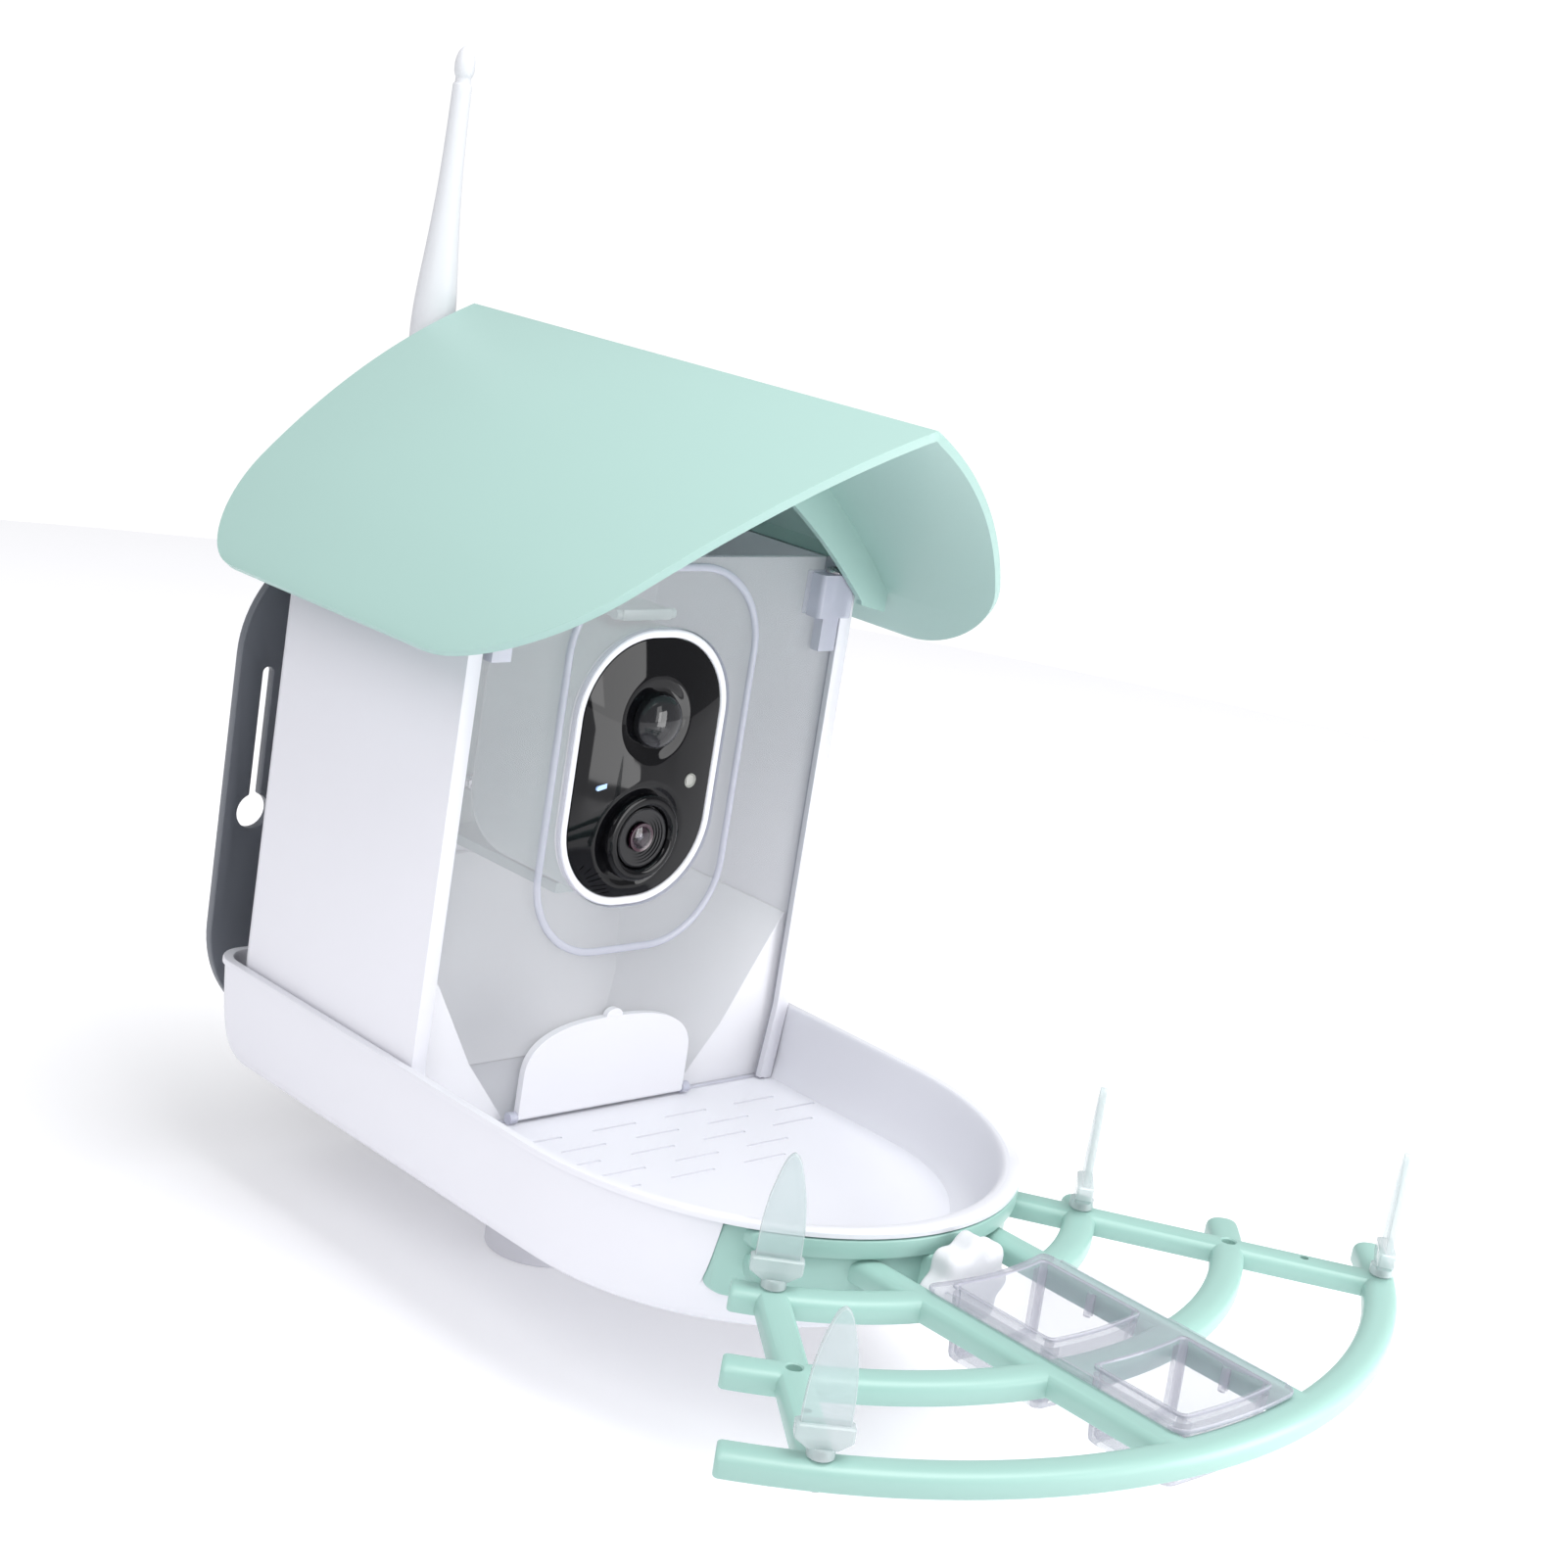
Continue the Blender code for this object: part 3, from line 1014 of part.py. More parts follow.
def lens_ring():
    z = lens_places()[1]
    front = face_y(0, z + LENS_RING_RADIUS) - LENS_RING_PROUD
    chamfer = LENS_RING_CHAMFER
    profile = [(LENS_RING_BORE, front + chamfer * 2), (LENS_RING_BORE + chamfer, front),
               (LENS_RING_RADIUS - chamfer, front), (LENS_RING_RADIUS, front + chamfer),
               (LENS_RING_RADIUS, FACE_BACK_Y), (LENS_RING_BORE, FACE_BACK_Y)]
    return turned("lens_ring", profile, 26, (0, 0, z), "Y", hollow=True)


def barrel_front():
    return face_y(0, lens_places()[1] + LENS_RING_RADIUS) - LENS_RING_PROUD + LENS_BARREL_SETBACK


def lens_barrel():
    front = barrel_front()
    radius = LENS_RING_BORE - GAP
    profile = [(0, front + LENS_RECESS), (LENS_RECESS_RADIUS * 3 / 4, front + LENS_RECESS),
               (LENS_RECESS_RADIUS, front), (radius - LENS_RING_CHAMFER / 2, front),
               (radius, front + LENS_RING_CHAMFER * 2), (radius, BOARD_Y - GAP), (0, BOARD_Y - GAP)]
    return turned("lens_barrel", profile, 22, (0, 0, lens_places()[1]), "Y")


def lens_glass():
    back = barrel_front() + LENS_RECESS - GAP
    radius = LENS_RECESS_RADIUS * 3 / 4 - GAP
    profile = [(0, back), (radius, back)]
    profile += [(radius * math.cos(a), back - LENS_GLASS_EDGE - LENS_GLASS_BULGE * math.sin(a))
                for a in (math.pi / 2 * k / 3 for k in range(4))]
    return turned("lens_glass", profile, 16, (0, 0, lens_places()[1]), "Y")


def status_led():
    z = lens_places()[2]
    return prism("status_led", led_outline(), face_y(DETAIL_X, z) - DETAIL_PROUD, FACE_BACK_Y, at_depth)


def light_sensor():
    z = lens_places()[2]
    return rod("light_sensor", SENSOR_RADIUS, face_y(DETAIL_X, z) - DETAIL_PROUD, FACE_BACK_Y, 12,
               (DETAIL_X, 0, z), "Y")


def main_board():
    """A board that fills the housing's section between its long walls."""
    half = HOUSING_HALF_WIDTH - HOUSING_WALL - GAP
    height = (HOUSING_HALF_HEIGHT - HOUSING_WALL) * BOARD_HEIGHT_SHARE
    outline = shifted(rounded(half, height, half - HOUSING_WALL, 4), 0, CAMERA_Z)
    return prism("main_board", outline, BOARD_Y, BOARD_Y + BOARD_THICKNESS, at_depth)


def battery_cells():
    y = HOUSING_BACK_Y - HOUSING_WALL - BATTERY_RADIUS - GAP
    z = CAMERA_Z - BATTERY_DROP
    return numbered("battery_cell", [rod("cell", BATTERY_RADIUS, -BATTERY_LENGTH / 2, BATTERY_LENGTH / 2, 16,
                                          (side * (BATTERY_RADIUS + GAP), y, z)) for side in (-1, 1)])


def speaker():
    front = BOARD_Y + BOARD_THICKNESS + GAP
    return rod("speaker", SPEAKER_RADIUS, front, front + SPEAKER_DEPTH, 16, (0, 0, SPEAKER_Z), "Y")


def power_button():
    inner = HOUSING_BACK_Y - HOUSING_WALL - GAP
    profile = [(0, inner - BUTTON_FLANGE), (BUTTON_RADIUS + BUTTON_FLANGE, inner - BUTTON_FLANGE),
               (BUTTON_RADIUS + BUTTON_FLANGE, inner), (BUTTON_RADIUS, inner),
               (BUTTON_RADIUS, HOUSING_BACK_Y + BUTTON_PROUD), (0, HOUSING_BACK_Y + BUTTON_PROUD)]
    return turned("power_button", profile, 16, (0, 0, BUTTON_Z), "Y")


def usb_flap():
    """A flap that turns about the round edge at its top."""
    half = FLAP_THICKNESS / 2
    y, z = flap_axis()
    edge = [(y + half * math.cos(a), z + half * math.sin(a)) for a in (math.pi * k / 6 for k in range(7))]
    edge += [(y - half, z + half - FLAP_HEIGHT), (y + half, z + half - FLAP_HEIGHT)]
    return prism("usb_flap", edge, -FLAP_HALF_WIDTH, FLAP_HALF_WIDTH, at_side)


def flap_axis():
    return HOUSING_BACK_Y - FLAP_THICKNESS / 2, CAMERA_Z - FLAP_DROP - FLAP_THICKNESS / 2


# Camera bracket on the back wall
def camera_bracket():
    back = BACK_WALL_Y - GAP
    arm_z = CAMERA_Z + HOUSING_HALF_HEIGHT + ARM_RISE
    shelf_z = CAMERA_Z - HOUSING_HALF_HEIGHT - GAP
    front = HOUSING_FRONT_Y + ARM_SETBACK
    low, high = shelf_z - ARM_THICKNESS, arm_z + ARM_THICKNESS
    arm = ARM_HALF_WIDTH
    body = box("camera_bracket", -SPINE_HALF_WIDTH, SPINE_HALF_WIDTH, back - SPINE_THICKNESS, back, low, high)
    parts = [box("arm", -arm, arm, front, back - FUSE, arm_z, high - FUSE),
             box("shelf", -arm, arm, HOUSING_FRONT_Y + SHELF_SETBACK, back - FUSE, low + FUSE, shelf_z),
             rod("nubs", NUB_RADIUS, -arm - NUB_REACH, arm + NUB_REACH, 12,
                 (0, front + ARM_THICKNESS / 2, arm_z + ARM_THICKNESS / 2 - FUSE / 2), "X")]
    for side in (-1, 1):
        x = side * (arm - FUSE - SPINE_THICKNESS / 2)
        reach = SPINE_THICKNESS + ARM_THICKNESS * 3
        gusset = [(back - FUSE, arm_z + FUSE), (back - reach, arm_z + FUSE), (back - FUSE, arm_z - reach)]
        parts.append(prism("gusset", gusset, x - SPINE_THICKNESS / 2, x + SPINE_THICKNESS / 2, at_side))
    fused(body, *parts)
    return cut(body, *[screw_hole(back - SPINE_THICKNESS - OVERRUN, back + OVERRUN, (x, 0, z), "Y")
                       for x, z in bracket_screw_places()])


def bracket_screws():
    head_y = BACK_WALL_Y - 2 * GAP - SPINE_THICKNESS
    length = BACK_WALL_Y + HOUSE_WALL * 3 / 4 - GAP - head_y
    return numbered("bracket_screw", [screw("screw", length, (x, head_y, z), "Y")
                                       for x, z in bracket_screw_places()])


# Antenna on the gable
def antenna_socket():
    seat = HOUSE_BACK_Y + GAP
    nut_front = BACK_WALL_Y - GAP - NUT_THICKNESS - STUB_BEHIND_NUT
    end = seat + STUB_REACH
    profile = [(0, nut_front), (STUB_RADIUS, nut_front), (STUB_RADIUS, seat), (SOCKET_COLLAR_RADIUS, seat),
               (SOCKET_COLLAR_RADIUS, seat + SOCKET_COLLAR), (STUB_RADIUS, seat + SOCKET_COLLAR),
               (STUB_RADIUS, end), (0, end)]
    return turned("antenna_socket", profile, 14, (ANTENNA_X, 0, PIVOT_Z), "Y")


def antenna_nut():
    back = BACK_WALL_Y - GAP
    centre = (ANTENNA_X, 0, PIVOT_Z)
    body = rod("antenna_nut", NUT_RADIUS, back - NUT_THICKNESS, back, 6, centre, "Y")
    bore = rod("bore", STUB_RADIUS + GAP, back - NUT_THICKNESS - OVERRUN, back + OVERRUN, 14, centre, "Y")
    return cut(body, bore)


def antenna_swivel():
    """A sleeve that turns on the socket, with a tongue for the antenna's knuckle."""
    start = HOUSE_BACK_Y + 2 * GAP + SOCKET_COLLAR
    end = ANTENNA_PIVOT_Y - SLEEVE_END_SETBACK
    bore_end = HOUSE_BACK_Y + 2 * GAP + STUB_REACH
    bore = STUB_RADIUS + GAP
    profile = [(0, bore_end), (bore, bore_end), (bore, start), (SLEEVE_RADIUS, start),
               (SLEEVE_RADIUS, end), (0, end)]
    body = turned("antenna_swivel", profile, 16, (ANTENNA_X, 0, PIVOT_Z), "Y")
    low, high = ANTENNA_X - TONGUE_HALF_THICKNESS, ANTENNA_X + TONGUE_HALF_THICKNESS
    knuckle = [(ANTENNA_PIVOT_Y + KNUCKLE_RADIUS * math.cos(a), PIVOT_Z + KNUCKLE_RADIUS * math.sin(a))
               for a in (math.pi * (k / 8 - 0.5) for k in range(9))]
    knuckle += [(end - FUSE, PIVOT_Z + KNUCKLE_RADIUS), (end - FUSE, PIVOT_Z - KNUCKLE_RADIUS)]
    fused(body, prism("tongue", knuckle, low, high, at_side))
    return cut(body, rod("pin_hole", KNUCKLE_PIN_RADIUS + GAP, low - OVERRUN, high + OVERRUN, 10,
                         (0, ANTENNA_PIVOT_Y, PIVOT_Z), "X"))


def antenna_pin():
    reach = KNUCKLE_PIN_HALF_LENGTH
    return rod("antenna_pin", KNUCKLE_PIN_RADIUS, -reach, reach, 10, (ANTENNA_X, ANTENNA_PIVOT_Y, PIVOT_Z), "X")


def antenna_paddle():
    foot = PIVOT_Z - ANTENNA_BELOW_PIVOT
    profile = [(0, foot)] + [(ANTENNA_RADIUS * width, foot + ANTENNA_LENGTH * share)
                             for share, width in ANTENNA_SHARES] + [(0, foot + ANTENNA_LENGTH)]
    body = turned("antenna_paddle", profile, 16, (ANTENNA_X, ANTENNA_PIVOT_Y, 0))
    half = TONGUE_HALF_THICKNESS + GAP
    slot = box("slot", ANTENNA_X - half, ANTENNA_X + half, ANTENNA_PIVOT_Y - 2 * ANTENNA_RADIUS,
               ANTENNA_PIVOT_Y + 2 * ANTENNA_RADIUS, foot - OVERRUN, PIVOT_Z + KNUCKLE_RADIUS + 2 * GAP)
    reach = KNUCKLE_PIN_HALF_LENGTH + GAP
    return cut(body, slot, rod("pin_hole", KNUCKLE_PIN_RADIUS + GAP, -reach, reach, 10,
                               (ANTENNA_X, ANTENNA_PIVOT_Y, PIVOT_Z), "X"))


# Perch frame
def beam_section(width, height):
    """A beam's section about its crown's middle: flat below, round on top."""
    half = width / 2
    crown = [(half * math.cos(a), BEAM_CROWN * (math.sin(a) - 1)) for a in (math.pi / 6 * k for k in range(7))]
    return crown + [(-half, -height), (half, -height)]


def swept_beam(name, stations, height):
    """Carries the beam's section along stations of (point, sideways direction, width share)."""
    rings = []
    for point, side, share in stations:
        rings.append([Vector(point) + Vector(side) * a + Vector((0, 0, b * (1 if b < -BEAM_CROWN else share)))
                      for a, b in beam_section(BEAM_WIDTH * share, height)])
    return loft(name, rings)


def arc_beam(name, radius, start, end, steps, rounded_start):
    """Part of an arc; its free ends draw in."""
    nose = BEAM_WIDTH / radius
    stops = [(start + (end - start) * k / steps, 1) for k in range(steps + 1)]
    taper = ((0.28, 0.97), (0.43, 0.80), (0.5, 0.55))
    after = [(end + nose * (share - 0.5), width) for share, width in taper]
    stops = stops[:-1] + [(end - nose * 0.5, 1)] + after
    if rounded_start:
        before = [(start - nose * (share - 0.5), width) for share, width in reversed(taper)]
        stops = before + [(start + nose * 0.5, 1)] + stops[1:]
    stations = []
    for angle, share in stops:
        stations.append((arc_point(radius, angle, PERCH_Z), (math.sin(angle), -math.cos(angle), 0), share))
    return swept_beam(name, stations, BEAM_HEIGHT)


def spoke_ends():
    inner = arc_point(ARC_RADII[0], math.radians(SPOKE_DEGREES[0]), PERCH_Z)
    outer = arc_point(ARC_RADII[2], math.radians(SPOKE_DEGREES[2]), PERCH_Z)
    return inner, outer


def mirrored(point, side):
    return Vector((side * point.x, point.y, point.z))


def perch_frame():
    first, second, third = ARC_RADII
    ends = [math.radians(a) for a in ARC_END_DEGREES]
    start = math.asin(CENTRE_BEAM_X / first)
    body = arc_beam("perch_frame", third, -ends[2], ends[2], 22, True)
    parts = [arc_beam("arc", second, -ends[1], ends[1], 18, True)]
    foot = BAND_TOP_Z - BAND_HEIGHT
    front = ARC_CENTRE_Y - math.sqrt(third ** 2 - CENTRE_BEAM_X ** 2)
    root_y = nose_point(BAND_BACK_INSET, math.asin(CENTRE_BEAM_X / TRAY_HALF_WIDTH))[1] + BEAM_WIDTH / 2
    inner, outer = spoke_ends()
    along = (inner - outer).normalized()
    root = inner + along * (NOSE_LENGTH / 4)
    flange_half = BAND_HALF_WIDTH - BAND_FLANGE_SETBACK
    for side in (-1, 1):
        stub = arc_beam("arc", first, start, ends[0], 5, False)
        if side < 0:
            stub.data.transform(Matrix.Diagonal((-1, 1, 1, 1)))
            stub.data.flip_normals()
        parts.append(stub)
        x = side * CENTRE_BEAM_X
        parts.append(swept_beam("centre_beam", [((x, root_y, PERCH_Z), (1, 0, 0), 1),
                                                ((x, front, PERCH_Z), (1, 0, 0), 1)], BEAM_HEIGHT - BEAM_STEP))
        a, b = mirrored(root, side), mirrored(outer, side)
        across = (b - a).cross(Vector((0, 0, 1))).normalized()
        parts.append(swept_beam("spoke", [(a, across, 1), (b, across, 1)], BEAM_HEIGHT - 2 * BEAM_STEP))
    parts.append(prism("web", band_outline(BAND_INSET, BAND_BACK_INSET, BAND_HALF_WIDTH), foot, BAND_TOP_Z))
    parts.append(prism("flange", band_outline(0, BAND_INSET + FUSE, flange_half),
                       BAND_TOP_Z - BAND_FLANGE_HEIGHT, BAND_TOP_Z - BEAM_STEP))
    boss_foot = foot + BEAM_STEP
    parts.append(box("boss", -BAND_BOSS_HALF_WIDTH, BAND_BOSS_HALF_WIDTH, NOSE_Y - BAND_BOSS_PROUD,
                     NOSE_Y + BAND_BACK_INSET - FUSE, boss_foot, boss_foot + BAND_BOSS_HEIGHT))
    fused(body, *parts)
    inside = [nose_point(BAND_BACK_INSET, math.pi * (k / 24 - 0.5)) for k in range(25)]
    cutters = [prism("inside", inside, foot - OVERRUN, BAND_TOP_Z + OVERRUN),
               rod("stud_hole", STUD_RADIUS + GAP, NOSE_Y - BAND_BOSS_PROUD - OVERRUN,
                   NOSE_Y + BAND_BACK_INSET + OVERRUN, 12, (0, 0, KNOB_Z), "Y")]
    top = PERCH_Z + OVERRUN
    for side in (-1, 1):
        for radius, degrees in zip(ARC_RADII, SPOKE_DEGREES):
            place = arc_point(radius, side * math.radians(degrees))
            cutters.append(rod("hole", SPIKE_HOLE_RADIUS, PERCH_Z - BEAM_HEIGHT - OVERRUN, top, 10, place))
        place = (arc_point(second, side * math.radians(SPOKE_DEGREES[1]))
                 + arc_point(third, side * math.radians(SPOKE_DEGREES[2]))) / 2
        cutters.append(rod("dimple", DIMPLE_RADIUS, PERCH_Z - DIMPLE_DEPTH, top, 8, place))
    return cut(body, *cutters)


# Knob, stud and insert
def knob_back_y():
    return NOSE_Y - BAND_BOSS_PROUD - GAP


def star_knob():
    steps = KNOB_LOBES * 5
    rings = []
    back = knob_back_y()
    for share, width in KNOB_SHARES:
        ring = []
        for k in range(steps):
            angle = math.tau * k / steps
            radius = KNOB_RADIUS - KNOB_LOBE_DEPTH * (1 - math.cos(KNOB_LOBES * angle)) / 2
            ring.append((width * radius * math.cos(angle), width * radius * math.sin(angle)))
        rings.append(at_depth(shifted(ring, 0, KNOB_Z), back - share * KNOB_THICKNESS))
    body = loft("star_knob", rings)
    return cut(body, rod("stud_bore", STUD_RADIUS + GAP, back - STUD_IN_KNOB - GAP, back + OVERRUN, 12,
                         (0, 0, KNOB_Z), "Y"))


def insert_front_y():
    return NOSE_Y + BAND_BACK_INSET + GAP


def knob_stud():
    return rod("knob_stud", STUD_RADIUS, knob_back_y() - STUD_IN_KNOB, insert_front_y() + INSERT_LENGTH, 12,
               (0, 0, KNOB_Z), "Y")


def threaded_insert():
    front = insert_front_y() + GAP
    return tube("threaded_insert", INSERT_RADIUS, STUD_RADIUS + GAP, front, front + INSERT_LENGTH, 14,
                (0, 0, KNOB_Z), "Y")


# Cup insert
def sector(half_width, inner, outer, steps=5):
    """A strip between two radii of the perch's arcs, with straight sides."""
    points = []
    for radius, direction in ((outer, 1), (inner, -1)):
        reach = math.asin(half_width / radius)
        for k in range(steps + 1):
            point = arc_point(radius, direction * reach * (2 * k / steps - 1))
            points.append((point.x, point.y))
    return points


def cup_insert():
    foot = PERCH_Z + GAP
    top = foot + CUP_FLANGE
    half = CENTRE_BEAM_X - BEAM_WIDTH / 2 - GAP
    beam = BEAM_WIDTH / 2 + CUP_CLEARANCE
    spans = ((CUP_FIRST_RADIUS, ARC_RADII[1] - beam), (ARC_RADII[1] + beam, ARC_RADII[2] - beam))
    body = prism("cup_insert", sector(CUP_FLANGE_HALF_WIDTH, CUP_FIRST_RADIUS - CUP_FLANGE_BEHIND,
                                      ARC_RADII[2] - beam + CUP_FLANGE_OVERLAP), foot, top)
    shells, hollows = [], []
    for inner, outer in spans:
        def ring(z, draft, wall):
            inset = draft + wall
            return at_height(sector(half - inset, inner + inset, outer - inset), z)

        low = top - CUP_DEPTH - CUP_WALL
        shells.append(loft("cup", [ring(low, CUP_DRAFT + CUP_WALL, 0), ring(low + CUP_WALL, CUP_DRAFT, 0),
                                   ring(top + CUP_LIP, 0, 0)]))
        slope = CUP_DRAFT / CUP_DEPTH
        hollows.append(loft("hollow", [ring(low + CUP_WALL, CUP_DRAFT, CUP_WALL),
                                       ring(top + OVERRUN, -slope * OVERRUN, CUP_WALL)]))
    edge = [(CUP_FLANGE_HALF_WIDTH - CUP_LIP, CUP_FIRST_RADIUS),
            (CUP_FLANGE_HALF_WIDTH - CUP_LIP, ARC_RADII[2] - beam),
            (CUP_FLANGE_HALF_WIDTH - GAP, ARC_RADII[2] - beam), (CUP_FLANGE_HALF_WIDTH - GAP, CUP_FIRST_RADIUS)]
    for side in (-1, 1):
        strip = [(side * x, ARC_CENTRE_Y - y) for x, y in edge]
        shells.append(prism("edge", strip, foot + CUP_FLANGE / 2, top + CUP_LIP * 3 / 4))
    fused(body, *shells)
    return cut(body, *hollows)


# Fruit spikes
def fruit_spike(name, radius, degrees):
    """A leaf-shaped spike on a block and collar, with a pin for the hole in the perch."""
    base = PERCH_Z + GAP
    block_z = base + SPIKE_COLLAR
    blade_z = block_z + SPIKE_BLOCK
    profile = [(0, base - SPIKE_PIN_LENGTH), (SPIKE_PIN_RADIUS, base - SPIKE_PIN_LENGTH),
               (SPIKE_PIN_RADIUS, base),
               (SPIKE_COLLAR_RADIUS, base), (SPIKE_COLLAR_RADIUS, block_z + FUSE), (0, block_z + FUSE)]
    body = turned(name, profile, 12, (0, 0, 0))

    def block_ring(z, half, depth):
        return at_height(rounded(half, depth, SPIKE_BLOCK_HALF_DEPTH / 3, 1), z)

    depth = SPIKE_BLOCK_HALF_DEPTH
    block = loft("block", [block_ring(block_z, SPIKE_BLOCK_FOOT_HALF_WIDTH, depth),
                           block_ring(block_z + SPIKE_BLOCK * 2 / 5, SPIKE_BLOCK_HALF_WIDTH, depth),
                           block_ring(blade_z, SPIKE_BLOCK_HALF_WIDTH, depth)])
    height = PERCH_Z + SPIKE_HEIGHT - blade_z
    side = [(SPIKE_BLADE_HALF_WIDTH * width, blade_z + height * share) for share, width in SPIKE_LEAF_SHARES]
    leaf = [(SPIKE_BLADE_HALF_WIDTH, blade_z - FUSE)] + side + [(0, blade_z + height)]
    leaf += [(-x, z) for x, z in reversed([(SPIKE_BLADE_HALF_WIDTH, blade_z - FUSE)] + side)]
    blade = prism("blade", leaf, -SPIKE_BLADE_HALF_DEPTH, SPIKE_BLADE_HALF_DEPTH, at_depth)
    fused(body, block, blade)
    angle = math.radians(degrees)
    place = arc_point(radius, angle)
    body.data.transform(Matrix.Translation(place) @ Matrix.Rotation(angle, 4, "Z"))
    return body


# Colours
def paint(name, colour, roughness, metallic=0.0, alpha=1.0):
    material = bpy.data.materials.new(name)
    material.use_nodes = True
    shader = material.node_tree.nodes["Principled BSDF"]
    shader.inputs["Base Color"].default_value = (*colour, 1.0)
    shader.inputs["Roughness"].default_value = roughness
    shader.inputs["Metallic"].default_value = metallic
    shader.inputs["Alpha"].default_value = alpha
    material.diffuse_color = (*colour, alpha)
    return material


COLOURS = {"white": ((0.83, 0.82, 0.88), 0.38), "roof_mint": ((0.50, 0.74, 0.67), 0.40),
           "perch_mint": ((0.36, 0.66, 0.55), 0.42), "grey": ((0.13, 0.13, 0.14), 0.50),
           "pale": ((0.70, 0.70, 0.74), 0.45), "black": ((0.006, 0.006, 0.008), 0.08),
           "clear": ((0.88, 0.88, 0.92), 0.08, 0.0, 0.35),
           "smoke": ((0.02, 0.02, 0.03), 0.04), "steel": ((0.55, 0.55, 0.56), 0.28, 1.0),
           "brass": ((0.70, 0.48, 0.18), 0.32, 1.0), "board": ((0.02, 0.16, 0.07), 0.45),
           "cell": ((0.03, 0.12, 0.36), 0.40), "led": ((0.45, 0.72, 0.95), 0.20)}


def finish(piece, colour, materials, origin=(0, 0, 0)):
    """Gives a piece its colour and shading, and sets its origin without moving it."""
    if colour not in materials:
        materials[colour] = paint(colour, *COLOURS[colour])
    piece.data.materials.clear()
    piece.data.materials.append(materials[colour])
    piece.data.name = piece.name
    piece.data.shade_smooth()
    piece.data.set_sharp_from_angle(angle=math.radians(SHARP_DEGREES))
    piece.data.transform(Matrix.Translation(-Vector(origin)))
    piece.location = origin
    return piece


def as_list(pieces):
    return pieces if isinstance(pieces, list) else [pieces]


def joint_empty(name, place):
    empty = bpy.data.objects.new(name, None)
    empty.location = place
    bpy.context.collection.objects.link(empty)
    return empty


def attach(parent, children):
    bpy.context.view_layer.update()
    for child in children:
        child.parent = parent
        child.matrix_parent_inverse = parent.matrix_world.inverted()


def build():
    for item in list(bpy.data.objects):
        bpy.data.objects.remove(item, do_unlink=True)
    materials = {}
    fixed = ((tray_base, "white"), (pole_socket, "white"), (socket_screws, "steel"), (base_screws, "steel"),
             (house_shell, "white"), (seed_funnel, "white"), (front_panel, "clear"), (panel_screws, "steel"),
             (rear_plate, "grey"), (plate_screws, "steel"), (camera_bracket, "pale"), (bracket_screws, "steel"),
             (antenna_socket, "brass"), (antenna_nut, "brass"), (threaded_insert, "brass"))
    for shape, colour in fixed:
        for piece in as_list(shape()):
            finish(piece, colour, materials)
    finish(seed_gate(), "white", materials, (0, GATE_AXIS_Y, GATE_AXIS_Z))
    finish(roof(), "roof_mint", materials, (0, HOUSE_FRONT_Y, HOUSE_TOP_Z))

    camera = joint_empty("camera_unit", (0, HOUSING_BACK_Y, CAMERA_Z))
    parts = ((camera_housing, "pale"), (camera_bezel, "white"), (camera_face, "black"), (pir_lens, "smoke"),
             (lens_ring, "black"), (lens_barrel, "black"), (lens_glass, "smoke"), (status_led, "led"),
             (light_sensor, "smoke"), (main_board, "board"), (battery_cells, "cell"), (speaker, "black"))
    attach(camera, [finish(piece, colour, materials) for shape, colour in parts for piece in as_list(shape())])
    button = finish(power_button(), "grey", materials, (0, HOUSING_BACK_Y, BUTTON_Z))
    flap = finish(usb_flap(), "grey", materials, (0, *flap_axis()))
    attach(camera, [button, flap])

    pivot = (ANTENNA_X, ANTENNA_PIVOT_Y, PIVOT_Z)
    swivel = finish(antenna_swivel(), "white", materials, (ANTENNA_X, HOUSE_BACK_Y, PIVOT_Z))
    attach(swivel, [finish(antenna_paddle(), "white", materials, pivot),
                    finish(antenna_pin(), "steel", materials, pivot)])

    perch = finish(perch_frame(), "perch_mint", materials, (0, ARC_CENTRE_Y, PERCH_Z))
    knob = finish(star_knob(), "white", materials, (0, knob_back_y(), KNOB_Z))
    children = [knob, finish(cup_insert(), "clear", materials, (0, ARC_CENTRE_Y, PERCH_Z))]
    number = 0
    for side in (-1, 1):
        for index in (0, 2):
            number += 1
            degrees = side * SPOKE_DEGREES[index]
            place = arc_point(ARC_RADII[index], math.radians(degrees), PERCH_Z)
            spike = fruit_spike("fruit_spike_" + str(number), ARC_RADII[index], degrees)
            children.append(finish(spike, "clear", materials, place))
    attach(perch, children)
    attach(knob, [finish(knob_stud(), "steel", materials, (0, knob_back_y(), KNOB_Z))])


build()
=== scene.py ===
"""Smart bird feeder, dressed for a studio picture. Each section makes or finishes one piece of the feeder,
in the order in which it is put together. Metres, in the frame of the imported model."""
import math

import bmesh
import bpy
from mathutils import Matrix, Vector


